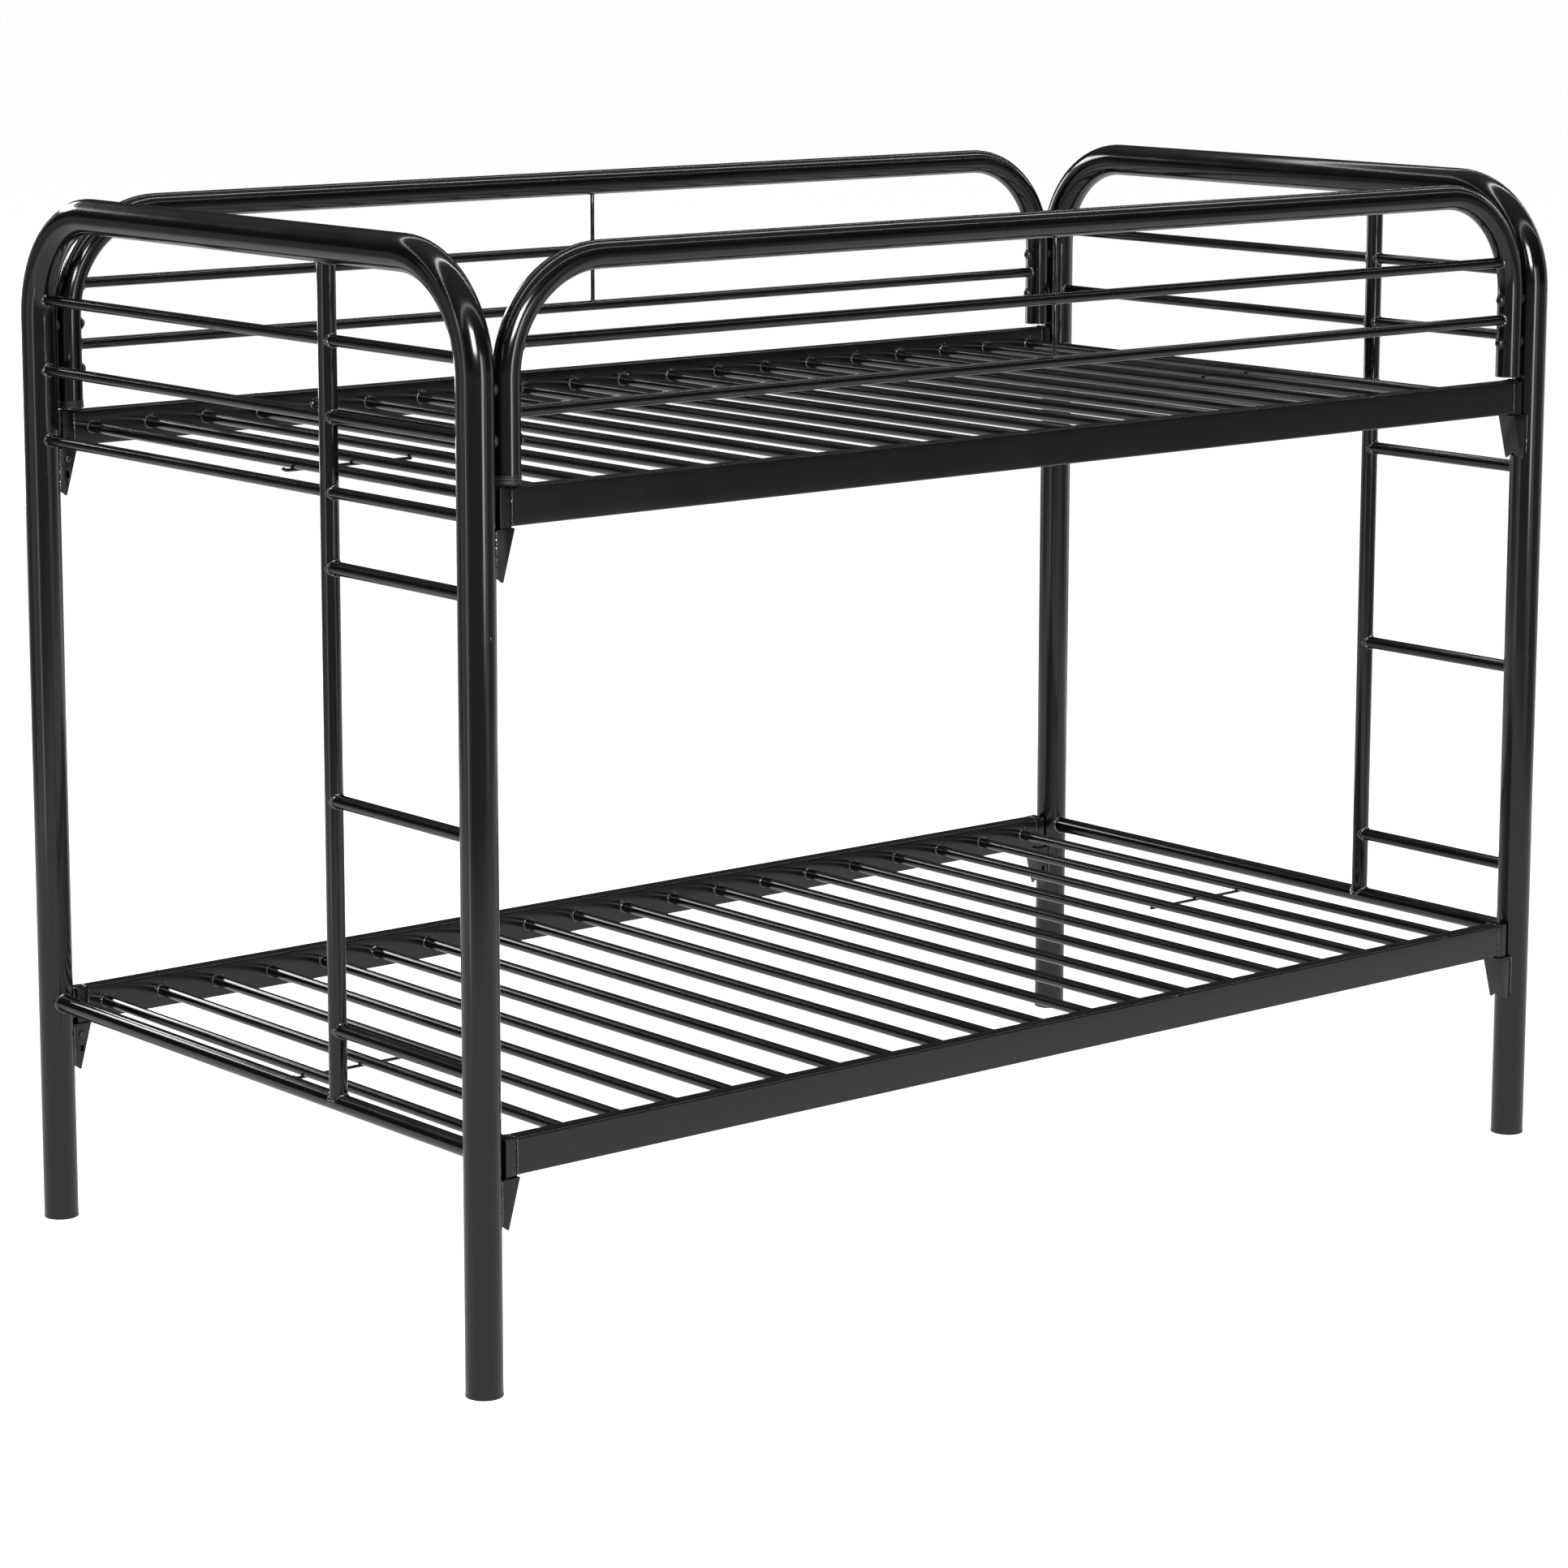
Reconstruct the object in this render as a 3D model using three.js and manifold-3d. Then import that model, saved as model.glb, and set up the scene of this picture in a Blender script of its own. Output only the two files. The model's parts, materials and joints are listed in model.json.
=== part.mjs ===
// Steel bunk bed with a ladder in each end frame, in millimetres.
//
// +X runs along the length of the beds, -Y is the ladder side, +Z is up. The origin is on the
// floor under the middle of the bed. Two inverted-U end frames carry two slatted decks on hook
// and socket joints, and a bolted guard rail closes each long side of the upper bunk.

import * as THREE from 'three';
import { mergeVertices } from 'three/addons/utils/BufferGeometryUtils.js';
import Module from 'manifold-3d';

const wasm = await Module();
wasm.setup();

// ---------------------------------------------------------------- driving dimensions
const GAP = 0.3; // between pieces that touch in the real bed

const POST_DIAMETER = 50.8; // 2 in
const GUARD_DIAMETER = 38.1; // 1 1/2 in
const UPRIGHT_DIAMETER = 25.4; // 1 in
const RUNG_DIAMETER = 19.05; // 3/4 in
const RAIL_DIAMETER = 15.88; // 5/8 in
const SPINDLE_DIAMETER = 6.35; // 1/4 in
const TIE_DIAMETER = 4.8;
const TUBE_WALL = 1.2;
const THIN_WALL = 1.0;

const POST_SPACING_X = 2019.3; // between the two end frames
const POST_SPACING_Y = 1066.8; // between the posts of one end frame
const TOP_TUBE_Z = 1498.6; // 59 in
const POST_BEND_RADIUS = 152.4;
const UPRIGHT_Y = -203.2;
const END_RAIL_Z = [1168.4, 1270.0, 1371.6]; // 4 in pitch
const RUNG_Z = [431.8, 749.3, 1066.8]; // 12 1/2 in pitch
const CROSS_RAIL_Z = 330.2;

const GUARD_STANDOFF = 4.5; // clear gap between a guard leg and its post
const GUARD_TOP_Z = 1496.0;
const GUARD_BEND_RADIUS = 152.4;
const GUARD_LEG_END_Z = 1215.0;
const GUARD_RAIL_Z = [1301.6, 1390.4];
const GUARD_BOLT_Z = [1266.0, 1332.0];

const DECK_BOTTOM_Z = [294.6, 1155.4];
const SIDE_RAIL_HEIGHT = 50.8; // 1 x 2 in rectangular tube, centred on the post axes
const SIDE_RAIL_WIDTH = 25.4;
const SIDE_RAIL_WALL = 1.5;
const SLAT_COUNT = 20;
const SLAT_PITCH = 98.0;
const SLAT_DROP = 25.4; // slat axis below the top of the side rail
const TIE_OUTER_OVERHANG = 19.0; // beyond the first slat
const TIE_INNER_OVERHANG = 2.4; // beyond the third slat

const HOOK_INNER = 28.9; // distances along the bed from the post axis
const HOOK_OUTER = 47.5;
const HOOK_TONGUE_DEPTH = 52.0;
const HOOK_PLATE = 2.5;
const SOCKET_MOUTH = 50.0;
const SOCKET_TIP = 31.0;
const SOCKET_DEPTH = 69.0;
const SOCKET_HALF_WIDTH = 16.0;
const SOCKET_PLATE = 2.5;

const GLIDE_DIAMETER = 51.4;
const GLIDE_RIM = 3.0;
const PLUG_RIM = 5.0;

const BOLT_RADIUS = 4.0;
const BOLT_HOLE_RADIUS = 4.7;
const BOLT_HEAD_RADIUS = 7.0;
const BOLT_HEAD_HEIGHT = 4.6;
const WASHER_RADIUS = 8.6;
const WASHER_THICKNESS = 1.4;

const POST_X = POST_SPACING_X / 2;
const POST_Y = POST_SPACING_Y / 2;
const POST_RADIUS = POST_DIAMETER / 2;
const GUARD_RADIUS = GUARD_DIAMETER / 2;
const GUARD_LEG_X = POST_X - POST_RADIUS - GUARD_STANDOFF - GUARD_RADIUS;
const SIDE_RAIL_HALF = SIDE_RAIL_WIDTH / 2;

// ---------------------------------------------------------------- finishes
const steelPaint = () => new THREE.MeshStandardMaterial({
  color: 0x141415,
  roughness: 0.28,
  metalness: 0.25,
});
const blackHardware = () => new THREE.MeshStandardMaterial({
  color: 0x19191b,
  roughness: 0.35,
  metalness: 0.7,
});
const blackPlastic = () => new THREE.MeshStandardMaterial({
  color: 0x101011,
  roughness: 0.55,
  metalness: 0.0,
});

// ---------------------------------------------------------------- geometry helpers

/** Closed polygon of equal sides whose first corner is on the +X axis. */
function polygon(radius, sides) {
  const points = [];
  for (let i = 0; i < sides; i += 1) {
    const angle = (2 * Math.PI * i) / sides;
    points.push(new THREE.Vector2(radius * Math.cos(angle), radius * Math.sin(angle)));
  }
  return points;
}

/** Area of a regular polygon. */
const polygonArea = (radius, sides) => (sides / 2) * radius ** 2 * Math.sin((2 * Math.PI) / sides);

/** Section of a tube; wall 0 gives a solid bar. The bore has half as many sides as the outside,
 * and is sized so that the metal weighs what a round tube of that wall weighs. */
function tubeSection(radius, wall, sides) {
  const section = new THREE.Shape(polygon(radius, sides));
  if (wall > 0) {
    const metal = Math.PI * (radius ** 2 - (radius - wall) ** 2);
    const boreArea = polygonArea(radius, sides) - metal;
    const boreRadius = Math.sqrt(boreArea / polygonArea(1, sides / 2));
    section.holes.push(new THREE.Path(polygon(boreRadius, sides / 2)));
  }
  return section;
}

/** A curve through given stations, with a given tangent at each of them. */
class BentTubePath extends THREE.Curve {
  constructor(stations) {
    super();
    this.stations = stations;
  }

  stationAt(u) {
    return this.stations[Math.round(u * (this.stations.length - 1))];
  }

  getPointAt(u, target = new THREE.Vector3()) {
    return target.copy(this.stationAt(u).point);
  }

  getTangentAt(u, target = new THREE.Vector3()) {
    return target.copy(this.stationAt(u).tangent);
  }
}

/** Stations of an inverted U in the plane of `across` and Z: up one leg, over, down the other. */
function invertedU(centre, across, halfWidth, footZ, topZ, bendRadius, bendSteps) {
  const up = new THREE.Vector3(0, 0, 1);
  const place = (a, z) => centre.clone().addScaledVector(across, a).setZ(z);
  const stations = [{ point: place(-halfWidth, footZ), tangent: up.clone() }];
  for (const side of [-1, 1]) {
    for (let i = 0; i <= bendSteps; i += 1) {
      const step = side < 0 ? i : bendSteps - i;
      const angle = (Math.PI / 2) * (step / bendSteps);
      const a = side * (halfWidth - bendRadius + bendRadius * Math.cos(angle));
      const z = topZ - bendRadius + bendRadius * Math.sin(angle);
      const tangent = across.clone().multiplyScalar(Math.sin(angle));
      tangent.addScaledVector(up, -side * Math.cos(angle));
      stations.push({ point: place(a, z), tangent });
    }
  }
  stations.push({ point: place(halfWidth, footZ), tangent: up.clone().negate() });
  return stations;
}

/** Extrudes a section along stations. */
function bentTube(stations, section) {
  return new THREE.ExtrudeGeometry(section, {
    steps: stations.length - 1,
    extrudePath: new BentTubePath(stations),
  });
}

/** Extrudes a section in a straight line from one point to another. */
function straightTube(from, to, section) {
  const along = to.clone().sub(from);
  const geometry = new THREE.ExtrudeGeometry(section, {
    depth: along.length(),
    bevelEnabled: false,
  });
  const turn = new THREE.Quaternion();
  turn.setFromUnitVectors(new THREE.Vector3(0, 0, 1), along.clone().normalize());
  geometry.applyQuaternion(turn);
  geometry.translate(from.x, from.y, from.z);
  return geometry;
}

/** Plate outlined by [x, z] corners, between two Y planes. */
function plateXZ(corners, yFrom, yTo) {
  const outline = new THREE.Shape(corners.map(([x, z]) => new THREE.Vector2(x, z)));
  const geometry = new THREE.ExtrudeGeometry(outline, {
    depth: Math.abs(yTo - yFrom),
    bevelEnabled: false,
  });
  geometry.rotateX(Math.PI / 2);
  geometry.translate(0, Math.max(yFrom, yTo), 0);
  return geometry;
}

/** Axis-aligned block between two opposite corners. */
function block(x0, x1, y0, y1, z0, z1) {
  const size = [Math.abs(x1 - x0), Math.abs(y1 - y0), Math.abs(z1 - z0)];
  const geometry = new THREE.BoxGeometry(...size);
  geometry.translate((x0 + x1) / 2, (y0 + y1) / 2, (z0 + z1) / 2);
  return geometry;
}

/** Makes a manifold solid from a closed three.js geometry. */
function solid(geometry) {
  const bare = geometry.clone();
  bare.deleteAttribute('normal');
  bare.deleteAttribute('uv');
  const welded = mergeVertices(bare, 1e-4);
  return new wasm.Manifold(new wasm.Mesh({
    numProp: 3,
    vertProperties: new Float32Array(welded.attributes.position.array),
    triVerts: new Uint32Array(welded.index.array),
  }));
}

/** Turns a manifold solid back into a three.js geometry. */
function toGeometry(manifold) {
  const mesh = manifold.getMesh();
  const geometry = new THREE.BufferGeometry();
  const positions = new Float32Array(mesh.vertProperties);
  geometry.setAttribute('position', new THREE.BufferAttribute(positions, 3));
  geometry.setIndex(new THREE.BufferAttribute(new Uint32Array(mesh.triVerts), 1));
  geometry.computeVertexNormals();
  return geometry;
}

/** Cuts every tool out of a geometry. */
function cut(geometry, tools) {
  return toGeometry(tools.reduce((body, tool) => body.subtract(solid(tool)), solid(geometry)));
}

/** Joins geometries into one body. */
function join(geometries) {
  const [first, ...others] = geometries.map(solid);
  return toGeometry(others.reduce((body, other) => body.add(other), first));
}

// ---------------------------------------------------------------- tube sections
const CUT = GAP + 0.05; // cutters stand this much outside the tube that they clear

const postTube = tubeSection(POST_RADIUS, TUBE_WALL, 20);
const postCutter = tubeSection(POST_RADIUS + CUT, 0, 20);
const guardTube = tubeSection(GUARD_RADIUS, TUBE_WALL, 16);
const guardCutter = tubeSection(GUARD_RADIUS + CUT, 0, 16);
const uprightTube = tubeSection(UPRIGHT_DIAMETER / 2, TUBE_WALL, 16);
const uprightCutter = tubeSection(UPRIGHT_DIAMETER / 2 + CUT, 0, 16);
const rungTube = tubeSection(RUNG_DIAMETER / 2, TUBE_WALL, 12);
const railTube = tubeSection(RAIL_DIAMETER / 2, THIN_WALL, 12);
const railCutter = tubeSection(RAIL_DIAMETER / 2 + CUT, 0, 12);
const spindleBar = tubeSection(SPINDLE_DIAMETER / 2, 0, 8);
const tieBar = tubeSection(TIE_DIAMETER / 2, 0, 6);
const boltHole = tubeSection(BOLT_HOLE_RADIUS, 0, 8);

const bed = new THREE.Group();

/** Adds one named piece to the bed. */
function addPiece(name, geometry, material) {
  const mesh = new THREE.Mesh(geometry, material);
  mesh.name = name;
  bed.add(mesh);
  return mesh;
}

const ENDS = [['left', -1], ['right', 1]];
const SIDES = [['front', -1], ['rear', 1]];
const DECKS = [['lower', DECK_BOTTOM_Z[0]], ['upper', DECK_BOTTOM_Z[1]]];

const postAxis = (endSign, sideSign, section) => straightTube(
  new THREE.Vector3(endSign * POST_X, sideSign * POST_Y, -10),
  new THREE.Vector3(endSign * POST_X, sideSign * POST_Y, TOP_TUBE_Z - POST_BEND_RADIUS),
  section,
);

/** Bores for the two bolts that hold one guard leg, run along X through leg and post wall. */
function boltBores(endSign, sideSign) {
  return GUARD_BOLT_Z.map((z) => straightTube(
    new THREE.Vector3(endSign * (POST_X - 2), sideSign * POST_Y, z),
    new THREE.Vector3(endSign * (GUARD_LEG_X - GUARD_RADIUS - 8), sideSign * POST_Y, z),
    boltHole,
  ));
}

// ---------------------------------------------------------------- end frames
for (const [end, endSign] of ENDS) {
  const x = endSign * POST_X;
  const at = (y, z) => new THREE.Vector3(x, y, z);
  const stations = invertedU(
    at(0, 0),
    new THREE.Vector3(0, 1, 0),
    POST_Y,
    GLIDE_RIM,
    TOP_TUBE_Z,
    POST_BEND_RADIUS,
    7,
  );
  const bores = SIDES.flatMap(([, sideSign]) => boltBores(endSign, sideSign));
  addPiece(`end_hoop_${end}`, cut(bentTube(stations, postTube), bores), steelPaint());

  const hoopTool = bentTube(stations, postCutter);
  const upright = straightTube(
    at(UPRIGHT_Y, CROSS_RAIL_Z),
    at(UPRIGHT_Y, TOP_TUBE_Z),
    uprightTube,
  );
  const uprightTool = straightTube(
    at(UPRIGHT_Y, CROSS_RAIL_Z),
    at(UPRIGHT_Y, TOP_TUBE_Z),
    uprightCutter,
  );
  const crossTool = straightTube(
    at(UPRIGHT_Y - 60, CROSS_RAIL_Z),
    at(UPRIGHT_Y + 60, CROSS_RAIL_Z),
    uprightCutter,
  );
  addPiece(`ladder_upright_${end}`, cut(upright, [hoopTool, crossTool]), steelPaint());

  const crossRail = straightTube(at(-POST_Y, CROSS_RAIL_Z), at(POST_Y, CROSS_RAIL_Z), uprightTube);
  addPiece(`cross_rail_${end}`, cut(crossRail, [hoopTool]), steelPaint());

  END_RAIL_Z.forEach((z, i) => {
    const front = straightTube(at(-POST_Y, z), at(UPRIGHT_Y, z), railTube);
    const rear = straightTube(at(UPRIGHT_Y, z), at(POST_Y, z), railTube);
    const label = `${end}_${i + 1}`;
    addPiece(`end_rail_front_${label}`, cut(front, [hoopTool, uprightTool]), steelPaint());
    addPiece(`end_rail_rear_${label}`, cut(rear, [hoopTool, uprightTool]), steelPaint());
  });

  RUNG_Z.forEach((z, i) => {
    const rung = straightTube(at(-POST_Y, z), at(UPRIGHT_Y, z), rungTube);
    addPiece(`ladder_rung_${end}_${i + 1}`, cut(rung, [hoopTool, uprightTool]), steelPaint());
  });
}

// ---------------------------------------------------------------- decks

/** Rectangular tube side rail; both ends open into the hooks. */
function sideRail(y, bottomZ) {
  const end = POST_X - HOOK_OUTER + 1;
  const bore = SIDE_RAIL_HALF - SIDE_RAIL_WALL;
  const topZ = bottomZ + SIDE_RAIL_HEIGHT;
  const outside = block(-end, end, y - SIDE_RAIL_HALF, y + SIDE_RAIL_HALF, bottomZ, topZ);
  const inside = block(
    -end - 5,
    end + 5,
    y - bore,
    y + bore,
    bottomZ + SIDE_RAIL_WALL,
    topZ - SIDE_RAIL_WALL,
  );
  return cut(outside, [inside]);
}

/** Hook at the end of a side rail: a folded channel that narrows into the socket below. */
function hook(endSign, y, bottomZ) {
  const at = (fromPost, z) => [endSign * (POST_X - fromPost), z];
  const topZ = bottomZ + SIDE_RAIL_HEIGHT;
  const tipZ = bottomZ - HOOK_TONGUE_DEPTH;
  const outside = plateXZ([
    at(HOOK_INNER, topZ),
    at(HOOK_OUTER, topZ),
    at(HOOK_OUTER, bottomZ - 1.5),
    at(SOCKET_MOUTH - 3.2, bottomZ - 1.5),
    at(HOOK_INNER + 1.5, tipZ),
    at(HOOK_INNER, tipZ),
  ], y - SIDE_RAIL_HALF, y + SIDE_RAIL_HALF);
  const inside = block(
    endSign * (POST_X - HOOK_INNER - HOOK_PLATE),
    endSign * (POST_X - HOOK_OUTER - 5),
    y - SIDE_RAIL_HALF + HOOK_PLATE,
    y + SIDE_RAIL_HALF - HOOK_PLATE,
    tipZ - 5,
    topZ - HOOK_PLATE,
  );
  return cut(outside, [inside]);
}

for (const [deck, bottomZ] of DECKS) {
  const slatZ = bottomZ + SIDE_RAIL_HEIGHT - SLAT_DROP;
  const railFace = POST_Y - SIDE_RAIL_HALF;
  const firstX = (-(SLAT_COUNT - 1) / 2) * SLAT_PITCH;
  const parts = SIDES.flatMap(([, sideSign]) => [
    sideRail(sideSign * POST_Y, bottomZ),
    ...ENDS.map(([, endSign]) => hook(endSign, sideSign * POST_Y, bottomZ)),
  ]);
  for (let i = 0; i < SLAT_COUNT; i += 1) {
    const x = firstX + i * SLAT_PITCH;
    parts.push(straightTube(
      new THREE.Vector3(x, -(railFace - GAP), slatZ),
      new THREE.Vector3(x, railFace - GAP, slatZ),
      railTube,
    ));
    for (const [, sideSign] of SIDES) {
      const weldZ = slatZ + RAIL_DIAMETER / 2 - THIN_WALL + 0.1;
      parts.push(block(
        x - 3,
        x + 3,
        sideSign * (railFace + 0.5),
        sideSign * (railFace - 3),
        weldZ,
        weldZ + 2.6,
      ));
    }
  }
  for (const [, endSign] of ENDS) {
    const outer = endSign * (-firstX + TIE_OUTER_OVERHANG);
    const inner = endSign * (-firstX - 2 * SLAT_PITCH - TIE_INNER_OVERHANG);
    const z = slatZ - RAIL_DIAMETER / 2 - TIE_DIAMETER / 2 + 0.6;
    parts.push(straightTube(
      new THREE.Vector3(outer, 0, z),
      new THREE.Vector3(inner, 0, z),
      tieBar,
    ));
  }
  addPiece(`deck_${deck}`, join(parts), steelPaint());

  for (const [end, endSign] of ENDS) {
    for (const [side, sideSign] of SIDES) {
      const at = (fromPost, depth) => [endSign * (POST_X - fromPost), bottomZ - 2 - depth];
      const half = SOCKET_HALF_WIDTH;
      const inner = SOCKET_HALF_WIDTH - SOCKET_PLATE;
      const slope = (SOCKET_MOUTH - SOCKET_TIP) / SOCKET_DEPTH;
      const lip = SOCKET_MOUTH - SOCKET_PLATE * Math.hypot(1, slope);
      const shell = plateXZ([
        at(12, 0),
        at(SOCKET_MOUTH, 0),
        at(SOCKET_TIP, SOCKET_DEPTH),
        at(SOCKET_TIP - 3, SOCKET_DEPTH),
        at(12, SOCKET_DEPTH - 12),
      ], sideSign * (POST_Y + half), sideSign * (POST_Y - half));
      const channel = plateXZ([
        at(0, -5),
        at(lip + 5 * slope, -5),
        at(lip - (SOCKET_DEPTH + 5) * slope, SOCKET_DEPTH + 5),
        at(0, SOCKET_DEPTH + 5),
      ], sideSign * (POST_Y + inner), sideSign * (POST_Y - inner));
      const geometry = cut(shell, [channel, postAxis(endSign, sideSign, postCutter)]);
      addPiece(`socket_${deck}_${end}_${side}`, geometry, steelPaint());
    }
  }
}

// ---------------------------------------------------------------- guard rails
for (const [side, sideSign] of SIDES) {
  const y = sideSign * POST_Y;
  const at = (x, z) => new THREE.Vector3(x, y, z);
  const stations = invertedU(
    at(0, 0),
    new THREE.Vector3(1, 0, 0),
    GUARD_LEG_X,
    GUARD_LEG_END_Z,
    GUARD_TOP_Z,
    GUARD_BEND_RADIUS,
    7,
  );
  const bores = ENDS.flatMap(([, endSign]) => boltBores(endSign, sideSign));
  addPiece(`guard_hoop_${side}`, cut(bentTube(stations, guardTube), bores), steelPaint());

  const hoopTool = bentTube(stations, guardCutter);
  const [lowerZ, upperZ] = GUARD_RAIL_Z;
  for (const [level, z] of [['lower', lowerZ], ['upper', upperZ]]) {
    const rail = straightTube(at(-GUARD_LEG_X, z), at(GUARD_LEG_X, z), railTube);
    addPiece(`guard_rail_${side}_${level}`, cut(rail, [hoopTool]), steelPaint());
  }

  const upperTool = straightTube(at(-30, upperZ), at(30, upperZ), railCutter);
  const lowerTool = straightTube(at(-30, lowerZ), at(30, lowerZ), railCutter);
  const topSpindle = straightTube(at(0, upperZ), at(0, GUARD_TOP_Z), spindleBar);
  const lowSpindle = straightTube(at(0, lowerZ), at(0, upperZ), spindleBar);
  addPiece(`spindle_${side}_upper`, cut(topSpindle, [hoopTool, upperTool]), steelPaint());
  addPiece(`spindle_${side}_lower`, cut(lowSpindle, [upperTool, lowerTool]), steelPaint());
}

// ---------------------------------------------------------------- bolts, leg plugs and glides

/** Button-head bolt with its washer, along +Y from the head to the tip of the shank. */
function boltGeometry() {
  const headBase = -WASHER_THICKNESS;
  const headTop = headBase - BOLT_HEAD_HEIGHT;
  const tip = GUARD_DIAMETER + GUARD_STANDOFF + 11;
  const profile = [
    [0, headTop],
    [BOLT_HEAD_RADIUS * 0.55, headTop + BOLT_HEAD_HEIGHT * 0.16],
    [BOLT_HEAD_RADIUS * 0.9, headTop + BOLT_HEAD_HEIGHT * 0.55],
    [BOLT_HEAD_RADIUS, headBase],
    [WASHER_RADIUS, headBase],
    [WASHER_RADIUS, -GAP],
    [BOLT_RADIUS, -GAP],
    [BOLT_RADIUS, tip],
    [0, tip],
  ];
  return new THREE.LatheGeometry(profile.map(([r, h]) => new THREE.Vector2(r, h)), 10);
}

/** Stopper for a tube end that faces down: a rim below the tube and a shank inside it. */
function stopperGeometry(rimRadius, rimHeight, shankRadius, shankHeight) {
  const profile = [
    [0, 0],
    [rimRadius - 0.8, 0],
    [rimRadius, 0.8],
    [rimRadius, rimHeight - GAP],
    [shankRadius, rimHeight - GAP],
    [shankRadius, rimHeight + shankHeight],
    [0, rimHeight + shankHeight],
  ];
  const geometry = new THREE.LatheGeometry(profile.map(([r, h]) => new THREE.Vector2(r, h)), 20);
  geometry.rotateX(Math.PI / 2);
  return geometry;
}

for (const [end, endSign] of ENDS) {
  for (const [side, sideSign] of SIDES) {
    const glide = addPiece(
      `foot_glide_${end}_${side}`,
      stopperGeometry(GLIDE_DIAMETER / 2, GLIDE_RIM, POST_RADIUS - TUBE_WALL - 1.8, 14),
      blackPlastic(),
    );
    glide.position.set(endSign * POST_X, sideSign * POST_Y, 0);

    const plug = addPiece(
      `guard_leg_plug_${end}_${side}`,
      stopperGeometry(GUARD_RADIUS, PLUG_RIM, GUARD_RADIUS - TUBE_WALL - 2, 10),
      blackPlastic(),
    );
    plug.position.set(endSign * GUARD_LEG_X, sideSign * POST_Y, GUARD_LEG_END_Z - PLUG_RIM);

    GUARD_BOLT_Z.forEach((z, i) => {
      const bolt = addPiece(
        `guard_bolt_${end}_${side}_${i + 1}`,
        boltGeometry(),
        blackHardware(),
      );
      bolt.position.set(endSign * (GUARD_LEG_X - GUARD_RADIUS), sideSign * POST_Y, z);
      bolt.rotation.z = (-endSign * Math.PI) / 2;
    });
  }
}

export default bed;
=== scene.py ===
"""Gloss black tubular steel bunk bed: fine pieces on the CAD frame, finishes, studio.

Sizes are in millimetres in the fields and in metres in every mesh. +X runs along the beds,
-Y is the ladder side and +Z is up.
"""

from __future__ import annotations

import json
import logging
import math
import random
from collections.abc import Callable, Iterable, Iterator
from dataclasses import dataclass
from enum import Enum

import bmesh
import bpy
from mathutils import Matrix, Vector

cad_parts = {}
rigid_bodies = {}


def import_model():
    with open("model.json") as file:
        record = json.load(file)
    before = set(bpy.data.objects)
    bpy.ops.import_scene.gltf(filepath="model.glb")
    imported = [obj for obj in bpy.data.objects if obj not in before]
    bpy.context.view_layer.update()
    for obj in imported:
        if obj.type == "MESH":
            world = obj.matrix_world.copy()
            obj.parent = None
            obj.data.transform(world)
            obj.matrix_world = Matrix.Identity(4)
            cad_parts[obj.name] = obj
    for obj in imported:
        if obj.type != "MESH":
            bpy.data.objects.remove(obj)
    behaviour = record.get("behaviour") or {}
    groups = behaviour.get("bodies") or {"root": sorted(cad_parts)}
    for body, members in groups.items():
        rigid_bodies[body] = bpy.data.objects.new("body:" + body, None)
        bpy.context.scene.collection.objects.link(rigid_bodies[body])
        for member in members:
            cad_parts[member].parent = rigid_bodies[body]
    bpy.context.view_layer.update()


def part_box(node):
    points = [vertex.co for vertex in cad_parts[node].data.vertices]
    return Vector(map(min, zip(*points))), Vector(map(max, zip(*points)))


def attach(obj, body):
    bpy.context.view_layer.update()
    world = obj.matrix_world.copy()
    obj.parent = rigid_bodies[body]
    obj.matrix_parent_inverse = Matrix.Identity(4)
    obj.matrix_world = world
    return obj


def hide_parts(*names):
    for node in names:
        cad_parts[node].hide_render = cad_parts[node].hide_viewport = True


for startup_object in list(bpy.data.objects):
    bpy.data.objects.remove(startup_object)
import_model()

LOG = logging.getLogger("bunk_bed")
MM = 0.001
UP = Vector((0, 0, 1))
ALONG = Vector((1, 0, 0))
ACROSS = Vector((0, 1, 0))
FACING = 0.999  # cosine above which a face counts as facing a way
MERGE_MM = 0.01
TUBE_MOUTH_MM = 12  # how deep the bore of a cut tube is drawn


class End(Enum):
    """The two end frames, by the sign of X."""

    LEFT = -1
    RIGHT = 1


class Side(Enum):
    """The two long sides, by the sign of Y."""

    FRONT = -1
    REAR = 1


class Level(Enum):
    """The two bunks."""

    LOWER = "lower"
    UPPER = "upper"


DECK_BOTTOMS_MM = {Level.LOWER: 294.6, Level.UPPER: 1155.4}


def corners() -> Iterator[tuple[End, Side, str]]:
    """Lists the four corners of the bed, each with its label."""
    for end in End:
        for side in Side:
            yield end, side, f"{end.name.lower()}_{side.name.lower()}"


# ---------------------------------------------------------------- finishes


def linear(hex_colour: str) -> tuple[float, float, float, float]:
    """Turns an sRGB hex colour into linear light.

    Args:
        hex_colour: Six hex digits, with or without a leading hash.

    Returns:
        Red, green, blue and an alpha of one.
    """
    digits = hex_colour.lstrip("#")
    channels = [int(digits[i : i + 2], 16) / 255 for i in (0, 2, 4)]
    red, green, blue = (
        c / 12.92 if c <= 0.04045 else ((c + 0.055) / 1.055) ** 2.4 for c in channels
    )
    return red, green, blue, 1.0


def add_node(
    tree: bpy.types.NodeTree,
    kind: str,
    settings: dict[str, object] | None = None,
    links: dict[str, bpy.types.NodeSocket] | None = None,
) -> bpy.types.Node:
    """Adds a node with its settings and the links into it.

    Args:
        tree: The node tree that gets the node.
        kind: The node's type name.
        settings: Values by attribute name, or by input name.
        links: Output sockets by the name of the input that each feeds.

    Returns:
        The new node.
    """
    node = tree.nodes.new(kind)
    for name, value in (settings or {}).items():
        if name in node.bl_rna.properties:
            setattr(node, name, value)
        else:
            node.inputs[name].default_value = value
    for name, output in (links or {}).items():
        tree.links.new(output, node.inputs[name])
    return node


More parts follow.
